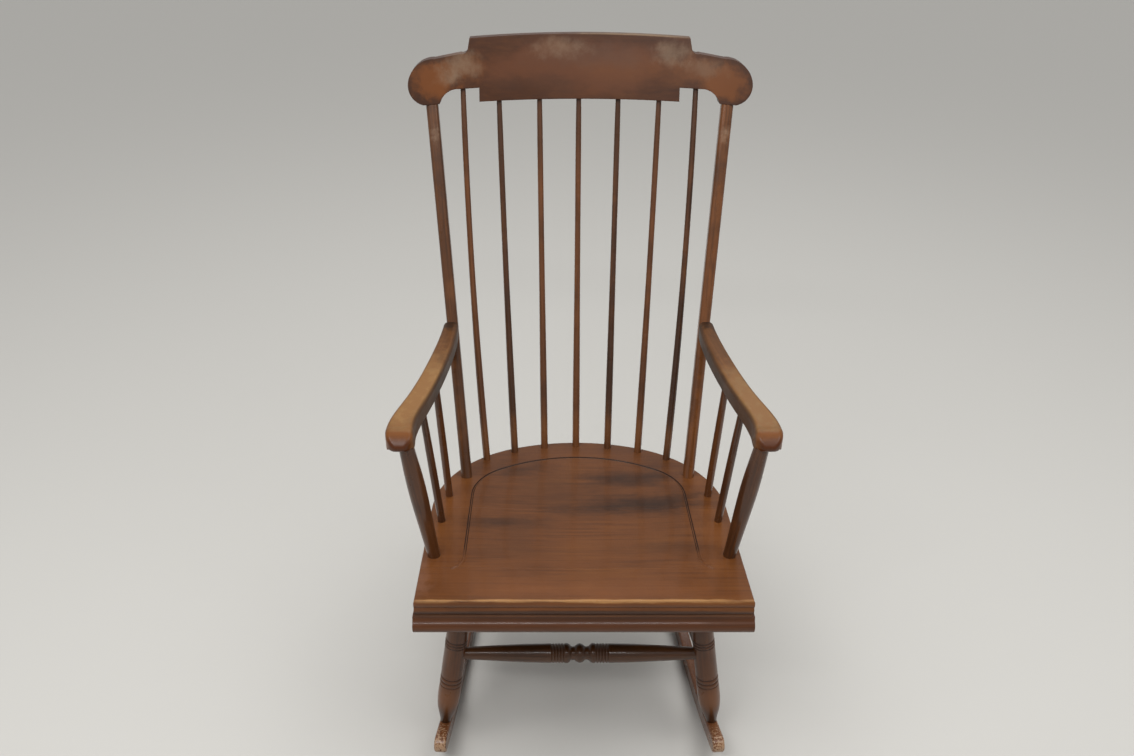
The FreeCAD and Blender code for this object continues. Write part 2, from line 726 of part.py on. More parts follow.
def rocker_blank(side):
    """True arc with half-round ends, toed in towards the rear."""
    middle = ROCKER_RADIUS - ROCKER_HEIGHT / 2
    inner = ROCKER_RADIUS - ROCKER_HEIGHT
    front = -ROCKER_FRONT_REACH / ROCKER_RADIUS
    rear = ROCKER_REAR_REACH / ROCKER_RADIUS

    def spot(radius, swing):
        return V(0, radius * math.sin(swing), ROCKER_RADIUS - radius * math.cos(swing))

    cap = ROCKER_HEIGHT / 2 / middle
    outline = [spot(ROCKER_RADIUS, front), (spot(ROCKER_RADIUS, 0), spot(ROCKER_RADIUS, rear)),
               (spot(middle, rear + cap), spot(inner, rear)),
               (spot(inner, 0), spot(inner, front)),
               (spot(middle, front - cap), spot(ROCKER_RADIUS, front))]
    board = prism(chain(outline), X_AXIS * ROCKER_WIDTH)
    board.translate(V(-ROCKER_WIDTH / 2, 0, 0))
    board = board.makeFillet(ROCKER_ROUNDING, long_edges(board))
    place = V(ROCKER_CONTACT_X * side, ROCKER_CONTACT_Y, 0)
    board.Placement = FreeCAD.Placement(place, FreeCAD.Rotation(Z_AXIS, ROCKER_TOE_DEG * side))
    return board


def long_edges(board):
    """Edges that run round a board's two broad faces."""
    broad = sorted(board.Faces, key=lambda face: face.Area)[-4:]
    sides = [face for face in broad if abs(face.CenterOfMass.x) > ROCKER_WIDTH * 0.49]
    return [edge for face in sides for edge in face.Edges]


# Legs

def leg_ends(which, side):
    x, y = FRONT_LEG_TOP if which == "front" else REAR_LEG_TOP
    foot_y = FRONT_LEG_FOOT_Y if which == "front" else REAR_LEG_FOOT_Y
    top = mirrored(on_seat(x, y, SEAT_THICKNESS), side)
    return mirrored(rocker_point(foot_y, ROCKER_HEIGHT), side), top


def leg_blank(which, side):
    """Turned leg: slim foot, swelling low down, two groups of rings, tapered top."""
    foot, top = leg_ends(which, side)
    length = (top - foot).Length
    lower_end = LEG_LOWER_RINGS_AT + 2 * LEG_LOWER_RING_PITCH + RING_WIDTH / 2
    lower_start = LEG_LOWER_RINGS_AT - RING_WIDTH / 2
    upper_start = LEG_UPPER_RINGS_AT - RING_WIDTH / 2
    swell = curve([lathe_point(-OVERLAP, LEG_FOOT_RADIUS)]
                  + [lathe_point(distance, radius) for distance, radius in LEG_SWELL]
                  + [lathe_point(LEG_MAX_AT, LEG_MAX_RADIUS),
                     lathe_point(lower_start, LEG_MAX_RADIUS - 0.4)])
    lower = ring_group(LEG_LOWER_RINGS_AT, LEG_LOWER_RING_PITCH, 3, LEG_MAX_RADIUS - 0.4)
    upper = ring_group(LEG_UPPER_RINGS_AT, LEG_UPPER_RING_PITCH, 3, LEG_MIDDLE_RADIUS)
    start = lathe_point(lower_start, LEG_MAX_RADIUS - 0.4)
    shank = (lathe_point((lower_end + upper_start) / 2, LEG_MIDDLE_RADIUS + 0.2),
             lathe_point(upper_start, LEG_MIDDLE_RADIUS))
    neck_start = LEG_UPPER_RINGS_AT + 2 * LEG_UPPER_RING_PITCH + RING_WIDTH / 2
    neck = (lathe_point((neck_start + length) / 2, (LEG_MIDDLE_RADIUS + LEG_TOP_RADIUS) / 2 + 0.6),
            lathe_point(length + OVERLAP, LEG_TOP_RADIUS))
    edges = [swell] + chain([start] + lower + [shank] + upper + [neck])
    return turned(edges, foot, top)


# Stretchers

def stretcher_ends(kind, side=1):
    """Ends of a stretcher, on the middle lines of the two legs that it joins."""
    heights = {"front": FRONT_STRETCHER_HEIGHT, "rear": REAR_STRETCHER_HEIGHT}
    if kind == "side":
        ends = [along(*leg_ends(which, side), SIDE_STRETCHER_HEIGHT) for which in ("front", "rear")]
        return ends[0], ends[1]
    return tuple(along(*leg_ends(kind, hand), heights[kind]) for hand in (-1, 1))


def plain_stretcher(start, end):
    profile = turned_line(start, end, STRETCHER_END_RADIUS, STRETCHER_PROFILE, STRETCHER_END_RADIUS)
    return turned([profile], start, end)


def front_stretcher_blank():
    """Turned stretcher with a bead between coves and five rings each side of it."""
    start, end = stretcher_ends("front")
    centre = (end - start).Length / 2

    def spot(pair):
        return lathe_point(centre + pair[0], pair[1])

    rings_end = FRONT_STRETCHER_RINGS_AT + 4 * FRONT_STRETCHER_RING_PITCH + RING_WIDTH / 2
    full = FRONT_STRETCHER_ARCS[-1][1][1]
    bead = spot((0, FRONT_STRETCHER_BEAD_RADIUS))
    arcs = [(spot(middle), spot(last)) for middle, last in FRONT_STRETCHER_ARCS]
    rings = ring_group(centre + FRONT_STRETCHER_RINGS_AT, FRONT_STRETCHER_RING_PITCH, 5, full)
    taper = [spot((rings_end + distance, radius)) for distance, radius in FRONT_STRETCHER_TAPER]
    tail = [(taper[0], taper[1]), lathe_point(2 * centre, FRONT_STRETCHER_END_RADIUS)]
    return half_turned(chain([bead] + arcs + rings + tail), centre, start, end)


def half_turned(profile, centre, start, end):
    """Turn one half of a symmetrical profile and join it to its mirror image."""
    middle = V(0, 0, centre)
    first = profile[0].Vertexes[0].Point
    last = profile[-1].Vertexes[-1].Point
    axis_end = V(0, 0, last.z)
    closing = [Part.makeLine(last, axis_end), Part.makeLine(axis_end, middle),
               Part.makeLine(middle, first)]
    right = Part.Face(Part.Wire(profile + closing)).revolve(V(), Z_AXIS, 360)
    solid = right.fuse(right.mirror(middle, Z_AXIS)).removeSplitter()
    solid.Placement = placed_from(start, end)
    return solid


# Fastening of the arms

def arm_screw_line(side):
    """Axis of the screw through a back post: where it enters, and its heading."""
    foot, top = post_ends(side)
    middle = arm_top(POST_FOOT_Y) - ARM_THICKNESS / 2
    on_axis = along(foot, top, middle)
    heading = post_frame(side).multVec(V(0, -1, 0))
    return on_axis - heading * (POST_DEPTH / 2), heading


def arm_screw(side, gap=0.0):
    """Countersunk wood screw, or with a gap the hole for its shank."""
    entry, heading = arm_screw_line(side)
    seat = entry + heading * (PLUG_LENGTH + SOCKET_RELIEF)
    neck = seat + heading * SCREW_HEAD_LENGTH
    head = Part.makeCone(SCREW_HEAD_RADIUS + gap, SCREW_RADIUS + gap, SCREW_HEAD_LENGTH, seat, heading)
    shank = rod(neck, neck + heading * (SCREW_LENGTH - SCREW_HEAD_LENGTH), SCREW_RADIUS + gap)
    return single(head.fuse(shank))


def arm_screw_plug(side):
    """Wood button over the screw, slightly proud of the back of the post."""
    entry, heading = arm_screw_line(side)
    plug = rod(entry - heading * PLUG_PROUD, entry + heading * PLUG_LENGTH, PLUG_RADIUS)
    rim = [edge for edge in plug.Edges if (edge.CenterOfMass - entry).dot(heading) < -PLUG_EASE]
    return plug.makeFillet(PLUG_EASE, rim)


def arm_screw_counterbore(side):
    entry, heading = arm_screw_line(side)
    end = entry + heading * (PLUG_LENGTH + SOCKET_RELIEF)
    return rod(entry - heading * OVERLAP, end, PLUG_RADIUS + GLUE_GAP / 2)


def arm_nail_line(side):
    """Where the nail enters the arm's inner face, and its heading."""
    foot, top = arm_post_ends(side)
    swing = math.radians(NAIL_LEAD_DEG)
    lead = V(side * math.cos(swing), -math.sin(swing), 0)
    target = top + direction(foot, top) * (ARM_POST_TOP_TENON_LENGTH / 2)
    inner = ARM_INNER_LINE[0][0] + NAIL_SINK
    return target - lead * ((target.x * side - inner) / abs(lead.x)), lead


def arm_nail(side, gap=0.0):
    """Nail from the arm's inner face through the tenon of its front support."""
    start, lead = arm_nail_line(side)
    shank = rod(start, start + lead * NAIL_LENGTH, NAIL_RADIUS + gap)
    head = rod(start, start + lead * NAIL_RADIUS, NAIL_HEAD_RADIUS + gap)
    return single(shank.fuse(head))


def arm_nail_hole(side):
    start, lead = arm_nail_line(side)
    mouth = rod(start - lead * OVERLAP, start + lead * NAIL_RADIUS, NAIL_HEAD_RADIUS + GLUE_GAP)
    return arm_nail(side, GLUE_GAP / 2).fuse(mouth)


def rocker_pin(which, side, gap=0.0):
    """Pin across a rocker, through the tenon of a leg."""
    foot, top = leg_ends(which, side)
    inward = direction(top, foot)
    middle = foot + inward * (FOOT_TENON_LENGTH * PIN_SHARE)
    across = FreeCAD.Rotation(Z_AXIS, ROCKER_TOE_DEG * side).multVec(X_AXIS)
    centre_gap = (middle - mirrored(rocker_point(middle.y, 0), side)).dot(across)
    middle = middle - across * centre_gap
    reach = ROCKER_WIDTH if gap else ROCKER_WIDTH / 2
    return rod(middle - across * reach, middle + across * reach, ROCKER_PIN_RADIUS + gap)


# Assembly

def fit(pieces, name, blank, stands_on):
    """Scribe one member to what it meets, and drill what it is tenoned into.

    Each entry of stands_on is (names that receive the tenon, the solid to scribe to,
    shoulder point, heading into it, tenon radius, tenon length).
    """
    tenons = []
    for receivers, scribe, shoulder, heading, radius, length in stands_on:
        tenons.append(tenon(shoulder, heading, radius, length))
        hole = socket(shoulder, heading, radius, length)
        for receiver in receivers:
            pieces[receiver] = single(pieces[receiver].cut(hole))
    pieces[name] = joined(blank, [entry[1] for entry in stands_on], tenons)


def seat_board_under(y):
    if y < FRONT_SEAM:
        return "seat_front_board"
    return "seat_middle_board" if y < REAR_SEAM else "seat_rear_board"


def into_seat(boards, foot, top, radius):
    """Entry for fit() of a foot that stands on the seat."""
    board = seat_board_under(foot.y)
    return ([board], boards[board], foot, direction(top, foot), radius, FOOT_TENON_LENGTH)


def add_back_posts(pieces, blanks):
    for hand, side in SIDES.items():
        name = "back_post_" + hand
        arm = "arm_" + hand
        foot, top = post_ends(side)
        fit(pieces, name, post_blank(side), [
            into_seat(blanks, foot, top, POST_FOOT_TENON_RADIUS),
            (["crest_rail"], blanks["crest_rail"], top, direction(foot, top),
             POST_TOP_TENON_RADIUS, POST_TOP_TENON_LENGTH)])
        bore = arm_screw(side, GLUE_GAP / 2)
        pieces[name] = single(pieces[name].cut([bore, arm_screw_counterbore(side)]))
        pieces[arm] = single(pieces[arm].cut(bore))


def add_back_spindles(pieces, blanks):
    last = len(SPINDLE_FOOT_X) - 1
    for number in range(-last, last + 1):
        foot, top = spindle_ends(number)
        bow = X_AXIS * (4 * SPINDLE_BOW * (number / last) ** 3)
        down = (foot - top - bow).normalize()
        rise = (top - foot - bow).normalize()
        board = seat_board_under(foot.y)
        fit(pieces, "back_spindle_%d" % (number + last + 1), spindle_blank(number), [
            ([board], blanks[board], foot, down, SPINDLE_FOOT_TENON_RADIUS, FOOT_TENON_LENGTH),
            (["crest_rail"], blanks["crest_rail"], top, rise, SPINDLE_TIP_TENON_RADIUS,
             SPINDLE_TIP_TENON_LENGTH)])


def add_arm_supports(pieces, blanks):
    for hand, side in SIDES.items():
        arm = "arm_" + hand
        post = "front_arm_post_" + hand
        foot, top = arm_post_ends(side)
        fit(pieces, post, arm_post_blank(side), [
            into_seat(blanks, foot, top, ARM_POST_FOOT_TENON_RADIUS),
            ([arm], blanks[arm], top, direction(foot, top), ARM_POST_TOP_TENON_RADIUS,
             ARM_POST_TOP_TENON_LENGTH)])
        for rank, place in enumerate(("front", "rear")):
            foot, top = arm_spindle_ends(rank, side)
            fit(pieces, "arm_spindle_%s_%s" % (hand, place), arm_spindle_blank(rank, side), [
                into_seat(blanks, foot, top, ARM_SPINDLE_TENON_RADIUS),
                ([arm], blanks[arm], top, direction(foot, top), ARM_SPINDLE_TENON_RADIUS,
                 ARM_SPINDLE_TOP_TENON_LENGTH)])
        hole = arm_nail_hole(side)
        for name in (arm, post):
            pieces[name] = single(pieces[name].cut(hole))


def add_legs(pieces, blanks):
    """Legs between seat and rockers, pinned through the rockers."""
    for hand, side in SIDES.items():
        rocker = "rocker_" + hand
        for which in ("front", "rear"):
            name = "%s_leg_%s" % (which, hand)
            foot, top = leg_ends(which, side)
            heading = direction(foot, top)
            board = seat_board_under(top.y)
            fit(pieces, name, leg_blank(which, side), [
                ([board], blanks[board], top, heading, LEG_TOP_TENON_RADIUS, FOOT_TENON_LENGTH),
                ([rocker], blanks[rocker], foot, heading * -1, LEG_FOOT_TENON_RADIUS,
                 FOOT_TENON_LENGTH)])
            blanks[name] = pieces[name].copy()
            hole = rocker_pin(which, side, GLUE_GAP / 2)
            for drilled in (rocker, name):
                pieces[drilled] = single(pieces[drilled].cut(hole))


def add_stretcher(pieces, blanks, name, blank, ends, legs):
    """One stretcher between two legs, with a tenon in each."""
    heading = direction(*ends)
    places = ((ends[0] + heading * LEG_MIDDLE_RADIUS, heading * -1),
              (ends[1] - heading * LEG_MIDDLE_RADIUS, heading))
    fit(pieces, name, blank, [
        ([leg], blanks[leg], shoulder, inward, STRETCHER_TENON_RADIUS, STRETCHER_TENON_LENGTH)
        for leg, (shoulder, inward) in zip(legs, places)])


def add_stretchers(pieces, blanks):
    add_stretcher(pieces, blanks, "front_stretcher", front_stretcher_blank(),
                  stretcher_ends("front"), ["front_leg_left", "front_leg_right"])
    rear = stretcher_ends("rear")
    add_stretcher(pieces, blanks, "rear_stretcher", plain_stretcher(*rear), rear,
                  ["rear_leg_left", "rear_leg_right"])
    for hand, side in SIDES.items():
        ends = stretcher_ends("side", side)
        add_stretcher(pieces, blanks, "side_stretcher_" + hand, plain_stretcher(*ends), ends,
                      ["front_leg_" + hand, "rear_leg_" + hand])


def add_fasteners(pieces):
    sides = SIDES.values()
    pieces["arm_screws"] = Part.Compound([arm_screw(side) for side in sides])
    pieces["arm_screw_plugs"] = Part.Compound([arm_screw_plug(side) for side in sides])
    pieces["arm_nails"] = Part.Compound([arm_nail(side) for side in sides])
    pieces["rocker_pins"] = Part.Compound(
        [rocker_pin(which, side) for which in ("front", "rear") for side in sides])


def build():
    """Every piece of the chair, by name, with the nosing at Y = 0.

    The blanks are the pieces before anything is drilled into them; members are
    scribed to the blanks, so that no socket leaves its mark on a shoulder.
    """
    pieces = seat_pieces()
    pieces["crest_rail"] = crest_blank()
    for hand, side in SIDES.items():
        pieces["rocker_" + hand] = rocker_blank(side)
        pieces["arm_" + hand] = single(arm_blank(side).cut(behind_post(side)))
    blanks = {name: shape.copy() for name, shape in pieces.items()}
    add_back_posts(pieces, blanks)
    add_back_spindles(pieces, blanks)
    add_arm_supports(pieces, blanks)
    add_legs(pieces, blanks)
    add_stretchers(pieces, blanks)
    add_fasteners(pieces)
    return pieces


def centred(pieces):
    """Move every piece along Y, so that the origin lies under the middle of the chair."""
    whole = Part.Compound(list(pieces.values())).optimalBoundingBox(False)
    shift = V(0, -(whole.YMin + whole.YMax) / 2, 0)
    for shape in pieces.values():
        shape.translate(shift)
    return shift.y


os.makedirs("parts", exist_ok=True)
all_pieces = build()
moved = centred(all_pieces)
weight = 0.0
moment = V()
for piece_name, piece in sorted(all_pieces.items()):
    piece.exportStep("parts/%s.step" % piece_name)
    weight += piece.Volume
    for solid in piece.Solids:
        moment += solid.CenterOfMass * solid.Volume
balance = moment * (1 / weight)
print("pieces", len(all_pieces), "volume cm3 %.0f" % (weight / 1000))
print("moved %.2f, balance Y %.2f Z %.2f, contact Y %.2f"
      % (moved, balance.y, balance.z, ROCKER_CONTACT_Y + moved))
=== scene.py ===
import logging
import math
from dataclasses import dataclass, replace
from enum import Enum
from typing import Any, Iterator, Sequence

import bpy
import numpy as np
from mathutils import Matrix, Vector

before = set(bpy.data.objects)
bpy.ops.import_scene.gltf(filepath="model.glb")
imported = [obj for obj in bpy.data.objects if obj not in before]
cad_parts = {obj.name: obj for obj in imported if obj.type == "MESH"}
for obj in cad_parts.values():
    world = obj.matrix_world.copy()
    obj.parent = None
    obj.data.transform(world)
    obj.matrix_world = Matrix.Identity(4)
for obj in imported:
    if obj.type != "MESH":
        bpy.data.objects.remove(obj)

Colour = tuple[float, float, float, float]
Point = tuple[float, float, float]
Tree = bpy.types.NodeTree
Socket = bpy.types.NodeSocket

log = logging.getLogger("boston_rocker")

ALONG_X = Vector((1, 0, 0))
ALONG_Y = Vector((0, 1, 0))
ALONG_Z = Vector((0, 0, 1))

# Sockets of the mix node that share a name, so they are known by number.
SHARE, NUMBER_A, NUMBER_B, COLOUR_A, COLOUR_B = 0, 2, 3, 6, 7
MIXED_NUMBER, MIXED_COLOUR = 0, 2

# Shading of the CAD surfaces: points closer than the weld are one, edges that turn by more
# than the crisp angle stay sharp, and large faces lead the shading of the small ones.
WELD_M = 0.00001
CRISP_DEG = 32.0
LARGE_FACE_WEIGHT = 60

# Steps that move the wood's figure, so that no two pieces show the same one.
NAME_SHIFT = 0.37
BOARD_SHIFT = 5.3


def linear(hex_colour: str) -> Colour:
    """Turn an sRGB hex colour into the linear colour that a shader takes.

    Args:
        hex_colour: Six hex digits after a hash sign.

    Returns:
        Linear red, green and blue, with an alpha of 1.
    """
    channels = [int(hex_colour[i:i + 2], 16) / 255 for i in (1, 3, 5)]
    red, green, blue = [c / 12.92 if c <= 0.04045 else ((c + 0.055) / 1.055) ** 2.4 for c in channels]
    return red, green, blue, 1.0


def add_node(tree: Tree, kind: str, inputs: dict[Any, Any] | None = None, **settings: Any) -> bpy.types.Node:
    """Add one node to a tree, with its settings and what goes into it.

    Args:
        tree: The node tree of a material or the world.
        kind: The node's type name.
        inputs: Socket name or number, and either a socket to link or a value to set.
        **settings: The node's own attributes.

    Returns:
        The new node.
    """
    node = tree.nodes.new(kind)
    for name, value in settings.items():
        setattr(node, name, value)
    for key, value in (inputs or {}).items():
        if isinstance(value, Socket):
            tree.links.new(value, node.inputs[key])
        else:
            node.inputs[key].default_value = value
    return node


def empty_material(name: str, obj: bpy.types.Object) -> Tree:
    """Give an object one new material, in place of those it has.

    Args:
        name: The material's name.
        obj: The object.

    Returns:
        The material's node tree, still empty.
    """
    material = bpy.data.materials.new(name)
    material.use_nodes = True
    material.node_tree.nodes.clear()
    obj.data.materials.clear()
    obj.data.materials.append(material)
    return material.node_tree


class Facing(Enum):
    """Which way a surface looks, for wear and grime that keep to one side."""

    ANY = (0.0, 0.0, 0.0)
    UP = (0.0, 0.0, 1.0)
    DOWN = (0.0, 0.0, -1.0)
    FRONT = (0.0, -1.0, 0.0)
    LEFT = (-1.0, 0.0, 0.0)
    RIGHT = (1.0, 0.0, 0.0)


@dataclass(frozen=True)
class Mark:
    """A worn, faded or grimy place, as a soft ellipsoid in the chair's own space.

    Fields:
        centre, radii: Metres; the mark is full in the middle and gone at the radii.
        colour: What it tints the wood to.
        strength: Share of that colour in the middle.
        facing, turned: The side it keeps to, and the two cosines between which it comes in.
        ragged: How far noise pushes its rim, as a share of the radii.
        grit_mm: Size of that noise.
        drawn: How many times longer the noise is along the chair's width.
        soft: Share of the radius over which it fades.
        roughness: The varnish's roughness in it, or None to leave it.
    """

    centre: Point
    radii: Point
    colour: str
    strength: float
    facing: Facing = Facing.ANY
    turned: tuple[float, float] = (0.3, 0.8)
    ragged: float = 0.35
    grit_mm: float = 18.0
    drawn: float = 1.0
    soft: float = 0.8
    roughness: float | None = None


@dataclass(frozen=True)
class Band:
    """A tinted length of a turned or straight piece, in metres from its foot along its axis."""

    start: float
    end: float
    colour: str
    strength: float
    soft: float


@dataclass(frozen=True)
class Grain:
    """How the grain runs in one piece: a point on its axis, the axis, and a shift of its figure."""

    foot: Vector
    axis: Vector
    shift: float = 0.0

    def turn(self) -> tuple[float, float, float]:
        """Euler angles that take local Z to the axis."""
        return tuple(self.axis.to_track_quat("Z", "Y").to_euler())


@dataclass(frozen=True)
class StainedWood:
    """Close-grained wood, planed or turned, wiped with stain and varnished long ago.

    The stain gives the eye a brown that is cloudy from place to place, the grain shows as
    fine darker threads, and the old varnish has a soft gloss that breaks up where it is
    handled.

    Fields:
        name: The wood, and what it is in the chair.
        stain, dark, light: Its usual tone, and the tones of its darker and lighter places.
        band_mm, band_length_mm: Width and length of the growth bands.
        pore_mm, pore_length_mm: Width and length of the pore threads. Real pores are 0.1 to
            0.2 mm wide, too fine to show, so the threads are as coarse as they need to show.
        cloud_mm: Size of the cloudy places in the stain.
        handled_mm: Size of the places where handling has dulled the varnish.
        thread: How strongly the pores darken the wood.
        contrast: How strongly the bands and the clouds show.
        roughness, roughness_spread: The varnish's roughness, and how far it varies.
        specular, coat, coat_roughness: Its soft gloss, and the harder gloss on top.
        relief_mm: Depth of the open pores.
        arris_mm: Radius to which the sharp edges are worn, or 0 for a turned piece.
    """

    name: str
    stain: str
    dark: str
    light: str
    band_mm: float = 7.0
    band_length_mm: float = 170.0
    pore_mm: float = 0.9
    pore_length_mm: float = 16.0
    cloud_mm: float = 70.0
    handled_mm: float = 45.0
    thread: float = 0.30
    contrast: float = 0.8
    roughness: float = 0.36
    roughness_spread: float = 0.16
    specular: float = 0.25
    coat: float = 0.15
    coat_roughness: float = 0.16
    relief_mm: float = 0.05
    arris_mm: float = 0.0

    def dress(self, obj: bpy.types.Object, grain: Grain, marks: Sequence[Mark],
              bands: Sequence[Band]) -> None:
        """Build this wood for one piece and give it to the piece.

        Args:
            obj: The piece.
            grain: Its grain direction.
            marks: Worn and grimy places on it, the later ones over the earlier.
            bands: Tinted lengths along it, under the marks.
        """
        tree = empty_material(f"{self.name}_{obj.name}", obj)
        here = add_node(tree, "ShaderNodeTexCoord").outputs["Object"]
        local = add_node(tree, "ShaderNodeMapping", {
            "Vector": here, "Location": grain.foot, "Rotation": grain.turn()},
            vector_type="TEXTURE").outputs["Vector"]
        colour, threads = self._figure(tree, local, grain.shift)
        roughness = self._varnish(tree, here, threads)
        covers = [(self._along(tree, local, band), band.colour, None) for band in bands]
        covers += [(self._cover(tree, here, mark), mark.colour, mark.roughness) for mark in marks]
        for cover, tone, gloss in covers:
            colour = add_node(tree, "ShaderNodeMix", {
                SHARE: cover, COLOUR_A: colour, COLOUR_B: linear(tone)},
                data_type="RGBA").outputs[MIXED_COLOUR]
            if gloss is not None:
                roughness = add_node(tree, "ShaderNodeMix", {
                    SHARE: cover, NUMBER_A: roughness, NUMBER_B: gloss}).outputs[MIXED_NUMBER]
        self._surface(tree, colour, roughness, threads)

    def _stretched(self, tree: Tree, local: Socket, across_mm: float, along_mm: float, shift: float,
                   detail: float) -> Socket:
        """Noise drawn out along the grain.

        Args:
            tree: The material's node tree.
            local: Position in the grain's own space.
            across_mm: Width of its streaks.
            along_mm: Length of its streaks.
            shift: How far the figure is moved, by another share along each axis.
            detail: How many finer layers it has.

        Returns:
            The noise, about 0.5 on average.
        """
        scale = (1000 / across_mm, 1000 / across_mm, 1000 / along_mm)
        drawn = add_node(tree, "ShaderNodeMapping", {
            "Vector": local, "Scale": scale, "Location": (shift, shift * 1.7, shift * 0.6)})
        return add_node(tree, "ShaderNodeTexNoise", {
            "Vector": drawn.outputs["Vector"], "Scale": 1.0, "Detail": detail, "Roughness": 0.55,
            "Distortion": 0.25}).outputs["Fac"]

    def _figure(self, tree: Tree, local: Socket, shift: float) -> tuple[Socket, Socket]:
        """Colour of the stained wood: growth bands, cloudy stain and fine pore threads.

        Args:
            tree: The material's node tree.
            local: Position in the grain's own space.
            shift: How far the figure is moved.

        Returns:
            The colour, and the noise of the pore threads.
        """
        bands = self._stretched(tree, local, self.band_mm, self.band_length_mm, shift, 3.0)
        threads = self._stretched(tree, local, self.pore_mm, self.pore_length_mm, shift + 3.1, 2.0)
        cloud = self._stretched(tree, local, self.cloud_mm, self.cloud_mm * 1.8, shift + 7.7, 3.0)
        # Each layer has its noise, where that starts and is full, its share and its tone.
        layers = (
            (bands, 0.50, 0.28, 0.62 * self.contrast, self.dark),
            (bands, 0.50, 0.76, 0.55 * self.contrast, self.light),
            (cloud, 0.52, 0.30, 0.55 * self.contrast, self.dark),
            (cloud, 0.52, 0.74, 0.50 * self.contrast, self.light),
            (threads, 0.53, 0.70, self.thread, self.dark))
        colour: Any = linear(self.stain)
        for noise, start, full, share, tone in layers:
            cover = add_node(tree, "ShaderNodeMapRange", {
                "Value": noise, "From Min": start, "From Max": full, "To Min": 0.0, "To Max": share},
                interpolation_type="SMOOTHSTEP").outputs["Result"]
            colour = add_node(tree, "ShaderNodeMix", {
                SHARE: cover, COLOUR_A: colour, COLOUR_B: linear(tone)},
                data_type="RGBA").outputs[MIXED_COLOUR]
        return colour, threads

    def _varnish(self, tree: Tree, here: Socket, threads: Socket) -> Socket:
        """Roughness of old varnish: handled, cloudy, and a little open at the pores.

        Args:
            tree: The material's node tree.
            here: Position in the chair's space.
            threads: Noise of the pore threads.

        Returns:
            The roughness.
        """
        worn = add_node(tree, "ShaderNodeTexNoise", {
            "Vector": here, "Scale": 1000 / self.handled_mm, "Detail": 4.0, "Roughness": 0.6}).outputs["Fac"]
        half_spread = self.roughness_spread / 2
        broad = add_node(tree, "ShaderNodeMapRange", {
            "Value": worn, "From Min": 0.3, "From Max": 0.7, "To Min": self.roughness - half_spread,
            "To Max": self.roughness + half_spread}).outputs["Result"]
        fine = add_node(tree, "ShaderNodeMapRange", {
            "Value": threads, "From Min": 0.5, "From Max": 0.8, "To Min": 0.0,
            "To Max": 0.10}).outputs["Result"]
        return add_node(tree, "ShaderNodeMath", {0: broad, 1: fine}, operation="ADD").outputs["Value"]

    def _along(self, tree: Tree, local: Socket, band: Band) -> Socket:
        """How much of a tinted length covers a point.

        Args:
            tree: The material's node tree.
            local: Position in the grain's own space.
            band: The tinted length.

        Returns:
            The cover, from 0 to the band's strength.
        """
        height = add_node(tree, "ShaderNodeSeparateXYZ", {"Vector": local}).outputs["Z"]
        rise = add_node(tree, "ShaderNodeMapRange", {
            "Value": height, "From Min": band.start - band.soft, "From Max": band.start + band.soft,
            "To Min": 0.0, "To Max": band.strength}, interpolation_type="SMOOTHSTEP").outputs["Result"]
        fall = add_node(tree, "ShaderNodeMapRange", {
            "Value": height, "From Min": band.end + band.soft, "From Max": band.end - band.soft,
            "To Min": 0.0, "To Max": 1.0}, interpolation_type="SMOOTHSTEP").outputs["Result"]
        return add_node(tree, "ShaderNodeMath", {0: rise, 1: fall}, operation="MULTIPLY").outputs["Value"]

    def _cover(self, tree: Tree, here: Socket, mark: Mark) -> Socket:
        """How much of a mark covers a point.

        Args:
            tree: The material's node tree.
            here: Position in the chair's space.
            mark: The mark.

        Returns:
            The cover, from 0 to the mark's strength.
        """
        inside = add_node(tree, "ShaderNodeMapping", {
            "Vector": here, "Location": mark.centre, "Scale": mark.radii},
            vector_type="TEXTURE").outputs["Vector"]
        reach = add_node(tree, "ShaderNodeVectorMath", {0: inside}, operation="LENGTH").outputs["Value"]
        drawn = add_node(tree, "ShaderNodeMapping", {
            "Vector": here, "Scale": (1 / mark.drawn, 1.0, 1.0)}).outputs["Vector"]
        grit = add_node(tree, "ShaderNodeTexNoise", {
            "Vector": drawn, "Scale": 1000 / mark.grit_mm, "Detail": 4.0, "Roughness": 0.62}).outputs["Fac"]
        pushed = add_node(tree, "ShaderNodeMapRange", {
            "Value": grit, "From Min": 0.3, "From Max": 0.7, "To Min": -mark.ragged,
            "To Max": mark.ragged}).outputs["Result"]
        rim = add_node(tree, "ShaderNodeMath", {0: reach, 1: pushed}, operation="ADD").outputs["Value"]
        cover = add_node(tree, "ShaderNodeMapRange", {
            "Value": rim, "From Min": 1.0, "From Max": 1.0 - mark.soft, "To Min": 0.0,
            "To Max": mark.strength}, interpolation_type="SMOOTHSTEP").outputs["Result"]
        if mark.facing is Facing.ANY:
            return cover
        face = add_node(tree, "ShaderNodeNewGeometry").outputs["True Normal"]
        toward = add_node(tree, "ShaderNodeVectorMath", {
            0: face, 1: mark.facing.value}, operation="DOT_PRODUCT").outputs["Value"]
        start, full = mark.turned
        side = add_node(tree, "ShaderNodeMapRange", {
            "Value": toward, "From Min": start, "From Max": full, "To Min": 0.0, "To Max": 1.0},
            interpolation_type="SMOOTHSTEP").outputs["Result"]
        return add_node(tree, "ShaderNodeMath", {0: cover, 1: side}, operation="MULTIPLY").outputs["Value"]

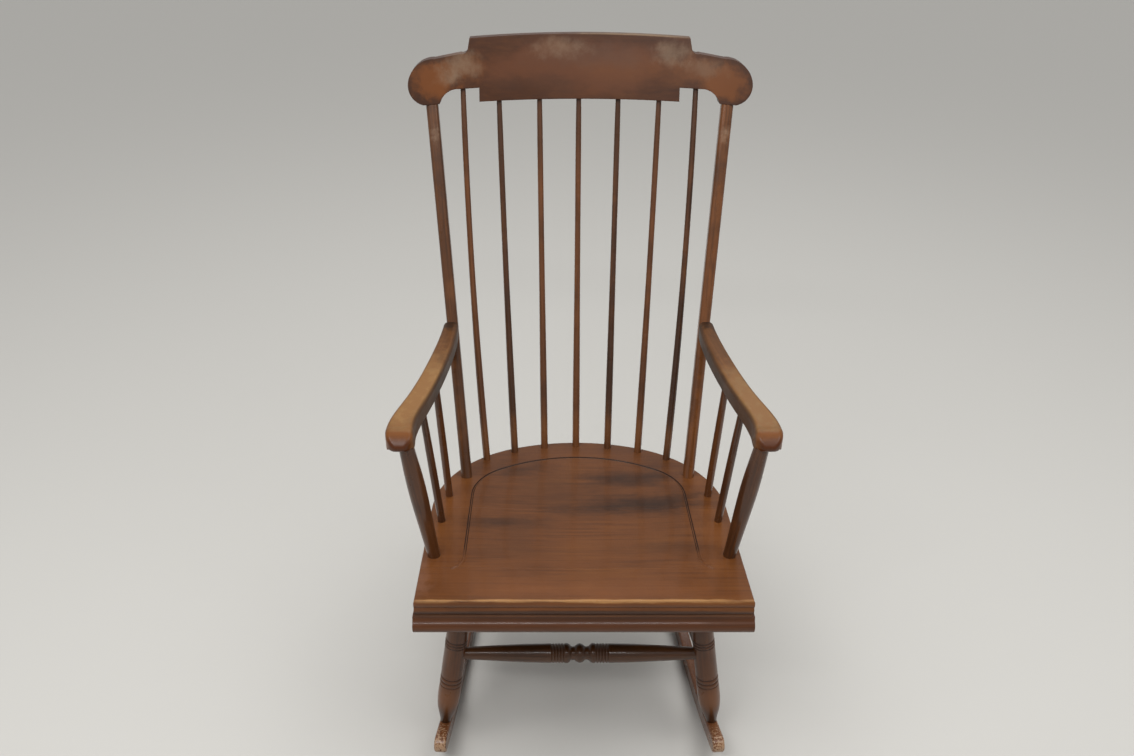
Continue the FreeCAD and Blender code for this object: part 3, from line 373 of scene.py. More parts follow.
    def _surface(self, tree: Tree, colour: Socket, roughness: Socket, threads: Socket) -> None:
        """Join the colour, the roughness and the relief of the pores into the surface.

        Args:
            tree: The material's node tree.
            colour: The wood's colour.
            roughness: The varnish's roughness.
            threads: Noise of the pore threads.
        """
        relief: dict[Any, Any] = {"Height": threads, "Strength": 0.5, "Distance": self.relief_mm / 1000}
        if self.arris_mm:
            relief["Normal"] = add_node(tree, "ShaderNodeBevel", {
                "Radius": self.arris_mm / 1000}, samples=6).outputs["Normal"]
        bump = add_node(tree, "ShaderNodeBump", relief).outputs["Normal"]
        shader = add_node(tree, "ShaderNodeBsdfPrincipled", {
            "Base Color": colour, "Roughness": roughness, "Metallic": 0.0, "IOR": 1.5, "Normal": bump,
            "Specular IOR Level": self.specular, "Coat Weight": self.coat,
            "Coat Roughness": self.coat_roughness, "Coat IOR": 1.5})
        add_node(tree, "ShaderNodeOutputMaterial", {"Surface": shader.outputs["BSDF"]})


@dataclass(frozen=True)
class OldSteel:
    """Drawn steel, darkened in the open; it gives the eye a dull grey glint with brown spots.

    Fields:
        name: The steel, and what it is in the chair.
        colour, rust: Its clean and its rusty colour.
        roughness: Of the clean steel; rust is rougher.
        spot_mm: Size of the rusty spots.
    """

    name: str
    colour: str
    rust: str
    roughness: float = 0.45
    spot_mm: float = 1.5

    def dress(self, obj: bpy.types.Object) -> None:
        """Build this steel and give it to a piece.

        Args:
            obj: The piece.
        """
        tree = empty_material(f"{self.name}_{obj.name}", obj)
        here = add_node(tree, "ShaderNodeTexCoord").outputs["Object"]
        spots = add_node(tree, "ShaderNodeTexNoise", {
            "Vector": here, "Scale": 1000 / self.spot_mm, "Detail": 3.0}).outputs["Fac"]
        share = add_node(tree, "ShaderNodeMapRange", {
            "Value": spots, "From Min": 0.5, "From Max": 0.68, "To Min": 0.0,
            "To Max": 0.8}).outputs["Result"]
        colour = add_node(tree, "ShaderNodeMix", {
            SHARE: share, COLOUR_A: linear(self.colour), COLOUR_B: linear(self.rust)},
            data_type="RGBA").outputs[MIXED_COLOUR]
        dulled = add_node(tree, "ShaderNodeMapRange", {
            "Value": spots, "From Min": 0.4, "From Max": 0.7, "To Min": self.roughness - 0.1,
            "To Max": self.roughness + 0.25}).outputs["Result"]
        shader = add_node(tree, "ShaderNodeBsdfPrincipled", {
            "Base Color": colour, "Roughness": dulled, "Metallic": 1.0})
        add_node(tree, "ShaderNodeOutputMaterial", {"Surface": shader.outputs["BSDF"]})


@dataclass(frozen=True)
class MattPaper:
    """Pale matt paper, rolled out flat; it gives the eye an even ground with no gloss."""

    name: str = "floor_sheet"
    colour: str = "#c3c1bc"
    roughness: float = 0.85
    specular: float = 0.2

    def dress(self, obj: bpy.types.Object) -> None:
        """Build this paper and give it to the floor.

        Args:
            obj: The floor.
        """
        tree = empty_material(self.name, obj)
        shader = add_node(tree, "ShaderNodeBsdfPrincipled", {
            "Base Color": linear(self.colour), "Roughness": self.roughness,
            "Specular IOR Level": self.specular})
        add_node(tree, "ShaderNodeOutputMaterial", {"Surface": shader.outputs["BSDF"]})


# Pine, planed: a warm brown with long soft bands, under varnish that still shines a little.
SEAT_PINE = StainedWood(
    "seat_pine", stain="#623818", dark="#452610", light="#74461d", band_mm=5.0, pore_mm=1.1,
    pore_length_mm=24.0, cloud_mm=85.0, thread=0.20, contrast=0.7, roughness=0.38, coat=0.25,
    coat_roughness=0.10, arris_mm=1.2)

# The same pine in the roll, stained darker as painted shade under the seat's front edge.
SHADED_ROLL_PINE = replace(SEAT_PINE, name="shaded_roll_pine", stain="#4f2a10", dark="#361c0c", light="#633818")

# Maple, steam-bent: close and even, dark brown, and dull from old varnish.
CREST_MAPLE = StainedWood(
    "crest_maple", stain="#472712", dark="#321b0e", light="#5a3519", band_mm=6.0, band_length_mm=140.0,
    cloud_mm=45.0, thread=0.22, contrast=0.7, roughness=0.40, coat=0.12, coat_roughness=0.22,
    arris_mm=1.6)

# Birch, turned thin: brown rods whose gloss draws a narrow bright line along them.
SPINDLE_BIRCH = StainedWood(
    "spindle_birch", stain="#5a331a", dark="#36200f", light="#7b4c27", band_mm=3.0,
    band_length_mm=120.0, cloud_mm=45.0, thread=0.28, roughness=0.30, coat=0.6, coat_roughness=0.10)

# The paler and the darker spindles of the back.
PALE_SPINDLE_BIRCH = replace(SPINDLE_BIRCH, stain="#673d1f", dark="#3a2110")
DARK_SPINDLE_BIRCH = replace(SPINDLE_BIRCH, stain="#4d2d17", dark="#2a1a0f")

# Birch, shaped flat with softened arrises: the same gloss in broader streaks.
POST_BIRCH = replace(SPINDLE_BIRCH, name="post_birch", arris_mm=0.6)

# Birch, turned: red-brown under the arms, where little light comes.
SUPPORT_BIRCH = replace(SPINDLE_BIRCH, name="arm_support_birch", dark="#2c180b", light="#6a3f1c")

# Cherry, sawn and rubbed by hands: golden brown and nearly without gloss.
ARM_CHERRY = StainedWood(
    "arm_cherry", stain="#633c1a", dark="#432913", light="#7c532b", band_mm=5.0, band_length_mm=130.0,
    cloud_mm=60.0, thread=0.16, contrast=0.7, roughness=0.44, coat=0.1, coat_roughness=0.25,
    arris_mm=0.8)

# Birch, turned thick: an orange brown with a soft bright streak down each leg.
LEG_BIRCH = StainedWood(
    "leg_birch", stain="#512c10", dark="#341c0b", light="#6a3f18", band_mm=4.0, band_length_mm=110.0,
    cloud_mm=50.0, thread=0.22, contrast=0.7, roughness=0.33, coat=0.4, coat_roughness=0.11)

# The same birch in the stretchers, darker in the shade of the seat.
STRETCHER_BIRCH = replace(LEG_BIRCH, name="stretcher_birch", stain="#472912", dark="#2a190c",
                          light="#60391a")

# Birch, sawn to a curve: paler than the legs, and the glossiest wood of the chair.
ROCKER_BIRCH = StainedWood(
    "rocker_birch", stain="#633b22", dark="#3f2515", light="#7e5131", band_mm=4.0,
    band_length_mm=150.0, cloud_mm=60.0, thread=0.25, roughness=0.26, coat=0.4, coat_roughness=0.10,
    arris_mm=0.8)

# Maple, turned to pegs: fine end grain with an even sheen.
DOWEL_MAPLE = StainedWood(
    "dowel_maple", stain="#57361c", dark="#3d2514", light="#6d4526", band_mm=2.0, band_length_mm=60.0,
    cloud_mm=20.0, thread=0.2)

# Steel, drawn and long in the open: almost black, with a weak glint.
NAIL_STEEL = OldSteel("nail_steel", colour="#4a4540", rust="#2f2219")

# Steel, cut to a thread and shut away from the air: still a plain grey.
SCREW_STEEL = OldSteel("screw_steel", colour="#8f8d88", rust="#6b5a48", roughness=0.35)


def piece(name: str) -> bpy.types.Object:
    """The CAD node of a name."""
    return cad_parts[name]


def grain_of(name: str, towards: Vector = ALONG_Z) -> Grain:
    """Grain along a piece's longest direction.

    Args:
        name: The CAD node.
        towards: The direction that its axis leans to.

    Returns:
        Grain with its foot at the piece's lower end.
    """
    co = np.array([v.co for v in piece(name).data.vertices], float)
    middle = (co.min(0) + co.max(0)) / 2
    centred = co - co.mean(0)
    axis = np.linalg.eigh(centred.T @ centred)[1][:, -1]
    if Vector(axis).dot(towards) < 0:
        axis = -axis
    lowest = ((co - middle) @ axis).min()
    return Grain(Vector(middle + axis * lowest), Vector(axis), sum(map(ord, name)) * NAME_SHIFT)


def smooth(obj: bpy.types.Object) -> None:
    """Shade a CAD node smoothly, with its real arrises kept crisp.

    Args:
        obj: The CAD node.
    """
    mesh = obj.data
    if mesh.has_custom_normals:
        with bpy.context.temp_override(object=obj, active_object=obj):
            bpy.ops.mesh.customdata_custom_splitnormals_clear()
    mesh.polygons.foreach_set("use_smooth", [True] * len(mesh.polygons))
    weld = obj.modifiers.new("weld", "WELD")
    weld.merge_threshold = WELD_M
    split = obj.modifiers.new("arrises", "EDGE_SPLIT")
    split.split_angle = math.radians(CRISP_DEG)
    split.use_edge_sharp = False
    even = obj.modifiers.new("even_shading", "WEIGHTED_NORMAL")
    even.mode = "FACE_AREA"
    even.weight = LARGE_FACE_WEIGHT


def finish_wood(name: str, wood: StainedWood, grain: Grain, marks: Sequence[Mark] = (),
                bands: Sequence[Band] = ()) -> str:
    """Shade one wooden piece smoothly and give it its wood.

    Args:
        name: The CAD node.
        wood: Its wood.
        grain: Its grain direction.
        marks: Worn and grimy places on it.
        bands: Tinted lengths along it.

    Returns:
        The piece's name.
    """
    smooth(piece(name))
    wood.dress(piece(name), grain, marks, bands)
    return name


def finish_steel(name: str, steel: OldSteel) -> str:
    """Shade one steel piece smoothly and give it its steel.

    Args:
        name: The CAD node.
        steel: Its steel.

    Returns:
        The piece's name.
    """
    smooth(piece(name))
    steel.dress(piece(name))
    return name


@dataclass
class Seat:
    """Seat of three boards with a reeded, rolled front; sizes in metres.

    Fields:
        boards, roll, dowels: The CAD nodes.
        deck: Height of the seat's top, halfway back.
        skin: How far up and down from there a mark on the top reaches.
        front: How far forward the nosing is.
        arris: Height of the nosing's top arris.
        roll_shift: Shift of the roll's figure.
        smudges: Middle of each smudge, its half-length and half-width, and its strength.
    """

    boards: tuple[str, ...] = ("seat_front_board", "seat_middle_board", "seat_rear_board")
    roll: str = "seat_front_roll"
    dowels: str = "seat_board_dowels"
    deck: float = 0.400
    skin: float = 0.03
    front: float = -0.363
    arris: float = 0.411
    roll_shift: float = 21.0
    smudges: tuple[tuple[float, ...], ...] = (
        (0.112, -0.106, 0.150, 0.050, 0.90),
        (0.150, -0.102, 0.085, 0.042, 0.35),
        (0.085, -0.030, 0.120, 0.040, 0.72),
        (0.142, -0.002, 0.050, 0.060, 0.40),
        (0.010, -0.124, 0.120, 0.030, 0.45),
        (-0.132, -0.164, 0.110, 0.030, 0.62),
        (-0.115, 0.002, 0.095, 0.050, 0.62),
        (-0.020, -0.060, 0.200, 0.100, 0.30),
        (-0.115, -0.240, 0.120, 0.030, 0.30),
        (0.128, -0.234, 0.120, 0.028, 0.32))

    def faded_marks(self) -> list[Mark]:
        """Where the stain is thin: at both sides, along the front and at the left corner."""
        z, skin = self.deck, self.skin
        side = {"colour": "#794821", "strength": 0.55, "ragged": 0.4, "grit_mm": 50.0, "soft": 1.0}
        return [
            Mark((-0.222, -0.10, z), (0.055, 0.22, skin), **side),
            Mark((0.220, -0.17, z), (0.052, 0.21, skin), **side),
            Mark((0.0, -0.340, z), (0.32, 0.045, skin), "#7c4a26", 0.45, ragged=0.2, grit_mm=60.0,
                 soft=1.0),
            Mark((-0.253, -0.30, z), (0.026, 0.085, skin), "#7c5540", 0.4, ragged=0.4)]

    def smudge_marks(self) -> list[Mark]:
        """Dark smudges, drawn out across the seat."""
        return [
            Mark((x, y, self.deck), (half_length, half_width, self.skin), "#2b180c", strength,
                 ragged=0.24, grit_mm=20.0, drawn=3.0, soft=1.0)
            for x, y, half_length, half_width, strength in self.smudges]

    def edge_marks(self) -> list[Mark]:
        """Painted highlight along the nosing's top arris, painted shade between the reeds, and painted shade
        with grime in the groove's walls.
        """
        return [
            # Painted highlight: a pale line along the nosing's top arris, where the lamps' reflection runs.
            Mark((0.0, self.front + 0.0012, self.arris), (0.50, 0.0042, 0.0042), "#a87c4c", 0.75,
                 ragged=0.35, grit_mm=12.0, drawn=6.0, soft=0.7, roughness=0.24),
            # Painted shade: a dark band on the front between the reeds, where the front turns away from the
            # light.
            Mark((0.0, self.front, self.deck - 0.012), (0.40, 0.030, 0.0085), "#2b1609", 0.75,
                 Facing.FRONT, (0.2, 0.7), ragged=0.1, grit_mm=40.0, soft=0.4),
            # Painted shade with grime: darkens the groove's tilted walls, not its floor.
            Mark((0.0, -0.10, self.deck), (0.235, 0.262, 0.05), "#1d1009", 0.90, Facing.UP,
                 (0.985, 0.93), ragged=0.0, soft=0.06, roughness=0.9)]

    def roll_marks(self) -> list[Mark]:
        """A scuff under the roll's middle, and shade under the reeds."""
        return [
            Mark((-0.095, self.front - 0.004, 0.347), (0.070, 0.03, 0.006), "#8d6a40", 0.7,
                 ragged=0.5, grit_mm=8.0, drawn=3.0, roughness=0.6),
            Mark((0.0, self.front + 0.004, 0.376), (0.30, 0.02, 0.010), "#2c190c", 0.45,
                 ragged=0.15, grit_mm=50.0)]

    def dress(self) -> Iterator[str]:
        """Finish every board, the roll and the hidden dowels.

        Returns:
            Each piece's name, once it is dressed.
        """
        middle = Vector((0, 0, self.deck))
        marks = self.faded_marks() + self.smudge_marks() + self.edge_marks()
        for number, name in enumerate(self.boards):
            yield finish_wood(name, SEAT_PINE, Grain(middle, ALONG_X, number * BOARD_SHIFT), marks)
        yield finish_wood(self.roll, SHADED_ROLL_PINE, Grain(middle, ALONG_X, self.roll_shift),
                          self.roll_marks())
        yield finish_wood(self.dowels, DOWEL_MAPLE, Grain(Vector(), ALONG_Y))


@dataclass
class Back:
    """Crest rail, two posts and seven spindles; sizes in metres.

    Fields:
        crest: The crest's CAD node.
        crest_grain: How the crest's grain runs.
        crest_face: How far back the crest's front is.
        crest_middle, crest_top: Heights of its middle and top.
        crest_depth: How far through the crest a mark reaches.
        blooms: Middle of each pale patch of painted sheen on the varnish, its
        half-length and half-height, and its strength.
        posts: Each post's CAD node, its side and its stain.
        tones: How dark each spindle is, from the left, 1 being the darkest.
        dark_tone: The tone from which a spindle is of the darker birch.
    """

    crest: str = "crest_rail"
    crest_grain: Grain = Grain(Vector((0, 0.2, 1.0)), ALONG_X, 2.0)
    crest_face: float = 0.235
    crest_middle: float = 1.06
    crest_top: float = 1.112
    crest_depth: float = 0.09
    # Pale patches of painted sheen on the crest's varnish.
    blooms: tuple[tuple[float, ...], ...] = (
        (-0.035, 1.094, 0.075, 0.022, 0.40),
        (-0.202, 1.070, 0.046, 0.030, 0.50),
        (-0.222, 1.052, 0.034, 0.016, 0.42),
        (0.158, 1.088, 0.046, 0.026, 0.48),
        (0.216, 1.066, 0.046, 0.020, 0.26))
    posts: tuple[tuple[str, int, str], ...] = (
        ("back_post_left", -1, "#543219"),
        ("back_post_right", 1, "#6e411f"))
    tones: tuple[float, ...] = (0.30, 0.75, 0.45, 0.25, 0.80, 0.35, 0.95)
    dark_tone: float = 0.5

    def ear_marks(self) -> list[Mark]:
        """Warmer stain on both ears and shoulders of the crest."""
        y, depth = self.crest_face, self.crest_depth
        marks = []
        for side, ear, shoulder in ((-1, "#744118", "#6d3f1c"), (1, "#70401b", "#6b3f1e")):
            marks += [
                Mark((side * 0.243, y - 0.04, 1.049), (0.047, depth, 0.036), ear, 0.95, ragged=0.25,
                     grit_mm=24.0, soft=0.55),
                Mark((side * 0.195, y - 0.02, 1.066), (0.055, depth, 0.030), shoulder, 0.7, ragged=0.3)]
        return marks

    def face_marks(self) -> list[Mark]:
        """Cloudy tones across the crest's face, and pale patches of painted sheen."""
        y, depth = self.crest_face, self.crest_depth
        tones = [
            Mark((0.0, y, 1.064), (0.215, depth, 0.052), "#603820", 0.85, ragged=0.2, grit_mm=45.0,
                 drawn=2.0, soft=0.5),
            Mark((0.08, y, 1.060), (0.150, depth, 0.030), "#6c4020", 0.6, ragged=0.4, grit_mm=40.0,
                 drawn=2.0, soft=1.0),
            Mark((-0.07, y, 1.036), (0.150, depth, 0.024), "#412616", 0.6, ragged=0.4, grit_mm=30.0,
                 drawn=2.0, soft=1.0),
            Mark((0.02, y, 1.078), (0.130, depth, 0.030), "#5a4032", 0.45, ragged=0.4, grit_mm=40.0,
                 soft=1.0)]
        # Painted sheen: pale patches where the varnish catches the light.
        return tones + [
            Mark((x, y, z), (half_length, depth, half_height), "#8d7660", strength, ragged=0.3,
                 grit_mm=20.0, soft=1.0, roughness=0.5)
            for x, z, half_length, half_height, strength in self.blooms]

    def edge_marks(self) -> list[Mark]:
        """Dark ends of the crest, painted shade on its underside, and a painted highlight along its top
        edge.
        """
        whole = (0.5, 0.3, 0.2)
        sides = ((Facing.LEFT, (0.25, 0.8)), (Facing.RIGHT, (0.25, 0.8)), (Facing.DOWN, (0.2, 0.8)))
        # Dark ends of the crest; on its underside this darkening is painted shade.
        dark = [Mark((0.0, self.crest_face, self.crest_middle), whole, "#2b190d", 0.75, facing, turned,
                     ragged=0.0, soft=0.1) for facing, turned in sides]
        # Painted highlight: a pale line along the crest's upward-facing top edge.
        return dark + [
            Mark((0.075, self.crest_face + 0.01, self.crest_top), (0.150, 0.06, 0.012), "#94795a", 0.6,
                 Facing.UP, (0.45, 0.8), ragged=0.2, grit_mm=30.0, roughness=0.5)]

    def post_marks(self, side: int) -> list[Mark]:
        """A pale rub near a post's top, and dark places under it and at the arm.

        Args:
            side: -1 for the left post and 1 for the right.

        Returns:
            The marks.
        """
        return [
            Mark((side * 0.2475, 0.195, 0.965), (0.013, 0.05, 0.022), "#8b7059", 0.7, ragged=0.3,
                 grit_mm=8.0, soft=1.0, roughness=0.5),
            Mark((side * 0.24, 0.15, 0.90), (0.02, 0.06, 0.05), "#40291a", 0.45, ragged=0.6),
            Mark((side * 0.206, 0.01, 0.56), (0.03, 0.06, 0.09), "#40281a", 0.4, ragged=0.6)]

    def spindle_bands(self, tone: float) -> list[Band]:
        """Dark, pale and shaded lengths of a spindle, from its foot upwards.

        Args:
            tone: How dark the spindle is, from 0 to 1.

        Returns:
            The bands.
        """
        return [
            Band(0.10, 0.24 + 0.1 * tone, "#2c1c11", 0.5 * tone, soft=0.05),
            Band(0.035, 0.085, "#7f5330", 0.45, soft=0.02),
            Band(0.56, 0.70, "#3f2716", 0.45, soft=0.04)]

    def dress(self) -> Iterator[str]:
        """Finish the crest, the posts and the spindles.

        Returns:
            Each piece's name, once it is dressed.
        """
        marks = self.ear_marks() + self.face_marks() + self.edge_marks()
        yield finish_wood(self.crest, CREST_MAPLE, self.crest_grain, marks)
        for name, side, stain in self.posts:
            post = replace(POST_BIRCH, stain=stain)
            yield finish_wood(name, post, grain_of(name), self.post_marks(side))
        for number, tone in enumerate(self.tones, start=1):
            name = f"back_spindle_{number}"
            wood = PALE_SPINDLE_BIRCH if tone < self.dark_tone else DARK_SPINDLE_BIRCH
            yield finish_wood(name, wood, grain_of(name), bands=self.spindle_bands(tone))


@dataclass(frozen=True)
class ArmWear:
    """How the arm of one side is worn; sizes in metres.

    Fields:
        hand, side: The side's name in the CAD nodes, and -1 for the left or 1 for the right.
        bare, reach: Middle and half-length of the place that is rubbed bare.
        tan: Its colour there.
        inner, outer: Which way its two sides look.
    """

    hand: str
    side: int
    bare: float
    reach: float
    tan: str
    inner: Facing
    outer: Facing


@dataclass
class Arms:
    """Two arms, their posts and short spindles; sizes in metres.

    Fields:
        level: Height of the arms' tops.
        wears: How each arm is worn.
        supports: CAD node of each post and spindle, with a gap for the hand, and its stain.
    """

    level: float = 0.645
    wears: tuple[ArmWear, ...] = (
        ArmWear("left", -1, -0.135, 0.190, "#8c683d", Facing.RIGHT, Facing.LEFT),
        ArmWear("right", 1, -0.175, 0.130, "#81603a", Facing.LEFT, Facing.RIGHT))
    supports: tuple[tuple[str, str], ...] = (
        ("front_arm_post_{}", "#4d2a10"),
        ("arm_spindle_{}_front", "#4c2b15"),
        ("arm_spindle_{}_rear", "#5b3419"))

    def top_marks(self, wear: ArmWear) -> list[Mark]:
        """Wood rubbed bare on top, with stain left at its outer side, its rear and the post.

        Args:
            wear: How the arm is worn.

        Returns:
            The marks.
        """
        side, z = wear.side, self.level
        return [
            Mark((side * 0.265, wear.bare, z), (0.10, wear.reach, 0.06), wear.tan, 0.92, Facing.UP,
                 (0.25, 0.95), ragged=0.22, grit_mm=30.0, soft=0.8, roughness=0.42),
            Mark((side * 0.268, wear.bare, z), (0.06, wear.reach, 0.06), "#7a4f27", 0.50, Facing.UP,
                 (0.5, 0.95), ragged=1.1, grit_mm=13.0, soft=0.9),
            Mark((side * 0.290, wear.bare, z), (0.05, wear.reach + 0.03, 0.06), "#684020", 0.75,
                 wear.outer, (0.15, 0.8), ragged=0.3, grit_mm=30.0),
            Mark((side * 0.240, 0.025, z), (0.06, 0.10, 0.06), "#533315", 0.70, Facing.UP,
                 (0.4, 0.95), ragged=0.4, grit_mm=24.0, soft=1.0),
            Mark((side * 0.228, 0.080, z + 0.01), (0.05, 0.060, 0.05), "#22150d", 0.85, ragged=0.35,
                 grit_mm=14.0)]

    def side_marks(self, wear: ArmWear) -> list[Mark]:
        """Darker on the inner side, and darker still along its lower edge.

        Args:
            wear: How the arm is worn.

        Returns:
            The marks.
        """
        side, z = wear.side, self.level
        return [
            Mark((side * 0.24, -0.07, z - 0.012), (0.09, 0.26, 0.06), "#4a3424", 0.80, wear.inner,
                 (0.35, 0.85), ragged=0.2, grit_mm=24.0, soft=0.3),
            Mark((side * 0.23, 0.0, z - 0.016), (0.06, 0.20, 0.030), "#2a1c12", 0.60, wear.inner,
                 (0.35, 0.85), ragged=0.4, grit_mm=24.0, soft=0.8)]

    def nose_marks(self, wear: ArmWear) -> list[Mark]:
        """Stain left on the nose, darker below, and a rub at its inner side.

        Args:
            wear: How the arm is worn.

        Returns:
            The marks.
        """
        side, z = wear.side, self.level
        return [
            Mark((side * 0.275, -0.250, z - 0.020), (0.06, 0.030, 0.06), "#70411a", 0.95,
                 Facing.FRONT, (0.16, 0.30), ragged=0.05, grit_mm=14.0, soft=0.2, roughness=0.34),
            Mark((side * 0.275, -0.262, z - 0.030), (0.05, 0.030, 0.030), "#4a230b", 0.95,
                 Facing.FRONT, (0.25, 0.85), ragged=0.25, grit_mm=14.0, soft=0.6, roughness=0.34),
            Mark((side * 0.250, -0.250, z - 0.030), (0.012, 0.026, 0.034), "#7d6048", 0.55,
                 wear.inner, (0.3, 0.8), ragged=0.3, grit_mm=8.0)]

    def dress(self) -> Iterator[str]:
        """Finish both arms with their posts and spindles.

        Returns:
            Each piece's name, once it is dressed.
        """
        for wear in self.wears:
            arm = f"arm_{wear.hand}"
            marks = self.top_marks(wear) + self.side_marks(wear) + self.nose_marks(wear)
            yield finish_wood(arm, ARM_CHERRY, grain_of(arm, ALONG_Y), marks)
            for node, stain in self.supports:
                name = node.format(wear.hand)
                yield finish_wood(name, replace(SUPPORT_BIRCH, stain=stain), grain_of(name))


@dataclass
class Base:
    """Legs, stretchers and rockers; sizes in metres.

    Fields:
        tenon: How much of a leg is hidden in its rocker.
        ring_heights: Heights of the turned rings over the rocker, along the leg.
        ring_width: Half the width of the dark line in a ring.
        ankle: Height of a leg's dark ankle over the rocker.
        bulb: Where a leg's rubbed bulb starts and ends over the rocker.
        tip: Middle of the worn tip of the right rocker.
    """

    tenon: float = 0.022
    ring_heights: tuple[float, ...] = (0.0900, 0.0990, 0.1080, 0.1760, 0.1820, 0.1880)
    ring_width: float = 0.0016
    ankle: float = 0.028
    bulb: tuple[float, float] = (0.045, 0.085)
    tip: Point = (0.251, -0.343, 0.040)

    def leg_bands(self) -> list[Band]:
        """Old varnish gathered in the rings, the dark ankle and the rubbed bulb."""
        bands = []
        for height in self.ring_heights:
            middle = self.tenon + height
            bands.append(Band(middle - self.ring_width, middle + self.ring_width, "#24140a", 0.55,
                              soft=0.0010))
        start, end = self.bulb
        return bands + [
            Band(0.0, self.tenon + self.ankle, "#26150a", 0.7, soft=0.018),
            Band(self.tenon + start, self.tenon + end, "#7a471c", 0.45, soft=0.016)]

    def rocker_marks(self, side: int) -> list[Mark]:
        """Varnish chipped off the front tip, and the worn running edge.

        Args:
            side: -1 for the left rocker and 1 for the right.

        Returns:
            The marks.
        """
        across, back, up = self.tip
        return [
            Mark((side * across, back, up), (0.03, 0.040, 0.03), "#a98a6c", 0.75, ragged=1.1,
                 grit_mm=3.5, soft=0.35, roughness=0.4),
            Mark((side * 0.22, 0.0, 0.0), (0.2, 0.6, 0.008), "#6f5b4a", 0.6, Facing.DOWN,
                 ragged=0.5, grit_mm=12.0, roughness=0.65)]

    def dress(self) -> Iterator[str]:
        """Finish the legs, the stretchers, the rockers and their pins.

        Returns:
            Each piece's name, once it is dressed.
        """
        for place in ("front", "rear"):
            for hand in ("left", "right"):
                name = f"{place}_leg_{hand}"
                yield finish_wood(name, LEG_BIRCH, grain_of(name), bands=self.leg_bands())
        for name in ("front_stretcher", "rear_stretcher"):
            yield finish_wood(name, STRETCHER_BIRCH, grain_of(name, ALONG_X))
        for name in ("side_stretcher_left", "side_stretcher_right"):
            yield finish_wood(name, STRETCHER_BIRCH, grain_of(name, ALONG_Y))
        for side, hand in ((-1, "left"), (1, "right")):
            name = f"rocker_{hand}"
            yield finish_wood(name, ROCKER_BIRCH, grain_of(name, ALONG_Y), self.rocker_marks(side))
        yield finish_wood("rocker_pins", DOWEL_MAPLE, Grain(Vector(), ALONG_X))


@dataclass
class Fasteners:
    """Nails and screws of the arms, and the wood buttons over the screws.

    Fields:
        nails, screws, buttons: The CAD nodes.
    """

    nails: str = "arm_nails"
    screws: str = "arm_screws"
    buttons: str = "arm_screw_plugs"

    def dress(self) -> Iterator[str]:
        """Finish each group.

        Returns:
            Each piece's name, once it is dressed.
        """
        yield finish_steel(self.nails, NAIL_STEEL)
        yield finish_steel(self.screws, SCREW_STEEL)
        yield finish_wood(self.buttons, DOWEL_MAPLE, Grain(Vector(), ALONG_Y))


@dataclass(frozen=True)
class Lamp:
    """A soft rectangular lamp: where it hangs, what it points at, its sides and its power."""

    name: str
    place: Point
    aim: Point
    width: float
    depth: float
    watts: float

    def hang(self) -> str:
        """Make the lamp and turn it to its aim.

        Returns:
            The lamp's name.
        """
        lamp = bpy.data.lights.new(self.name, "AREA")
        lamp.shape = "RECTANGLE"
        lamp.size = self.width
        lamp.size_y = self.depth
        lamp.energy = self.watts
        holder = bpy.data.objects.new(self.name, lamp)
        holder.location = self.place
        holder.rotation_mode = "QUATERNION"
        holder.rotation_quaternion = (Vector(self.place) - Vector(self.aim)).to_track_quat("Z", "Y")
        bpy.context.scene.collection.objects.link(holder)
        return self.name


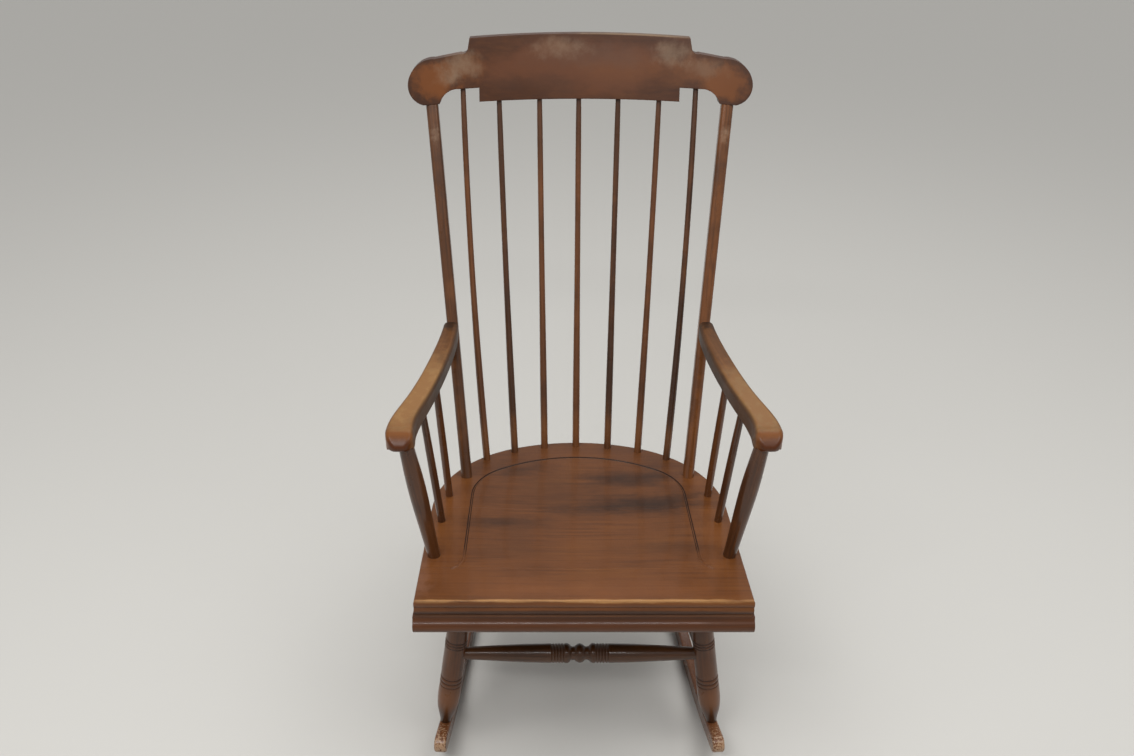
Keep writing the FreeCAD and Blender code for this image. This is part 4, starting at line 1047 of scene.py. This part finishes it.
@dataclass
class Studio:
    """Pale floor, soft lamps, sky and the camera at the photograph's angle; sizes in metres.

    Fields:
        paper: The floor's finish.
        floor_reach: How far the floor goes on from the middle.
        sky_colour: Colour of the sky.
        sky_low, sky_high: Strength of its light at the horizon and from straight above.
        sky_starts: Sine of the height at which it starts to brighten.
        sky_seen: Its strength for the camera, and in what is glossy or clear.
        eye, pitch_deg: Where the camera is and how far it looks down.
        focal_px, middle_px, photo_px: Focal length, middle column and width of the photograph.
        film_mm: Width of the camera's film.
        near, far: Nearest and farthest distance that it sees.
        lamps: The lamps.
    """

    paper: MattPaper = MattPaper()
    floor_reach: float = 40.0
    sky_colour: str = "#ffffff"
    sky_low: float = 0.20
    sky_high: float = 1.55
    sky_starts: float = 0.55
    sky_seen: float = 0.42
    eye: Point = (-0.054, -1.3651, 1.3666)
    pitch_deg: float = 29.7
    focal_px: float = 900.0
    middle_px: float = 548.0
    photo_px: float = 1134.0
    film_mm: float = 36.0
    near: float = 0.05
    far: float = 200.0
    lamps: tuple[Lamp, ...] = (
        Lamp("lamp_over_left", (-1.3, -1.2, 2.7), (0.0, 0.0, 0.5), 1.8, 1.2, 26.0),
        Lamp("lamp_over_right", (1.5, -0.9, 2.5), (0.0, 0.0, 0.5), 1.6, 1.2, 18.0),
        Lamp("lamp_behind", (0.4, 1.8, 3.3), (0.0, 0.1, 0.7), 2.4, 1.6, 16.0),
        Lamp("lamp_strip", (-0.5, -2.3, 2.9), (0.0, 0.0, 0.5), 2.6, 0.10, 22.0))

    def build_floor(self) -> None:
        """Lay one large pale sheet under the rockers."""
        reach = self.floor_reach
        corners = [(-reach, -reach, 0), (reach, -reach, 0), (reach, reach, 0), (-reach, reach, 0)]
        mesh = bpy.data.meshes.new("floor")
        mesh.from_pydata(corners, [], [(0, 1, 2, 3)])
        floor = bpy.data.objects.new("floor", mesh)
        bpy.context.scene.collection.objects.link(floor)
        self.paper.dress(floor)

    def build_sky(self) -> None:
        """Light the room softly, most from straight above, and keep it pale to the eye."""
        world = bpy.data.worlds.new("studio")
        world.use_nodes = True
        tree = world.node_tree
        tree.nodes.clear()
        heading = add_node(tree, "ShaderNodeTexCoord").outputs["Generated"]
        height = add_node(tree, "ShaderNodeSeparateXYZ", {"Vector": heading}).outputs["Z"]
        light = add_node(tree, "ShaderNodeMapRange", {
            "Value": height, "From Min": self.sky_starts, "From Max": 1.0, "To Min": self.sky_low,
            "To Max": self.sky_high}, interpolation_type="SMOOTHSTEP").outputs["Result"]
        ray = add_node(tree, "ShaderNodeLightPath")
        mirrored = add_node(tree, "ShaderNodeMath", {
            0: ray.outputs["Is Glossy Ray"], 1: ray.outputs["Is Transmission Ray"]},
            operation="MAXIMUM").outputs["Value"]
        seen = add_node(tree, "ShaderNodeMath", {
            0: ray.outputs["Is Camera Ray"], 1: mirrored}, operation="MAXIMUM").outputs["Value"]
        strength = add_node(tree, "ShaderNodeMix", {
            SHARE: seen, NUMBER_A: light, NUMBER_B: self.sky_seen}).outputs[MIXED_NUMBER]
        glow = add_node(tree, "ShaderNodeBackground", {
            "Color": linear(self.sky_colour), "Strength": strength})
        add_node(tree, "ShaderNodeOutputWorld", {"Surface": glow.outputs["Background"]})
        bpy.context.scene.world = world

    def build_camera(self) -> None:
        """Set the camera that was solved from the photograph's level and upright lines."""
        camera = bpy.data.cameras.new("camera")
        camera.sensor_width = self.film_mm
        camera.lens = self.film_mm * self.focal_px / self.photo_px
        camera.shift_x = (self.photo_px / 2 - self.middle_px) / self.photo_px
        camera.clip_start = self.near
        camera.clip_end = self.far
        holder = bpy.data.objects.new("camera", camera)
        holder.location = self.eye
        holder.rotation_euler = (math.radians(90 - self.pitch_deg), 0.0, 0.0)
        bpy.context.scene.collection.objects.link(holder)
        bpy.context.scene.camera = holder

    def build(self) -> Iterator[str]:
        """Build everything round the chair.

        Returns:
            Each thing's name, once it is there.
        """
        self.build_floor()
        yield "floor"
        self.build_sky()
        yield "sky"
        for lamp in self.lamps:
            yield lamp.hang()
        self.build_camera()
        bpy.context.scene.view_settings.view_transform = "Standard"
        yield "camera"


def main() -> None:
    """Dress the chair, set it in the studio and report each piece."""
    logging.basicConfig(level=logging.INFO, format="%(name)s: %(message)s")
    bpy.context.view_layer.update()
    for assembly in (Seat(), Back(), Arms(), Base(), Fasteners()):
        for name in assembly.dress():
            log.info("%s: %s is dressed", type(assembly).__name__, name)
    for name in Studio().build():
        log.info("Studio: %s is set", name)


if __name__ == "__main__":
    main()
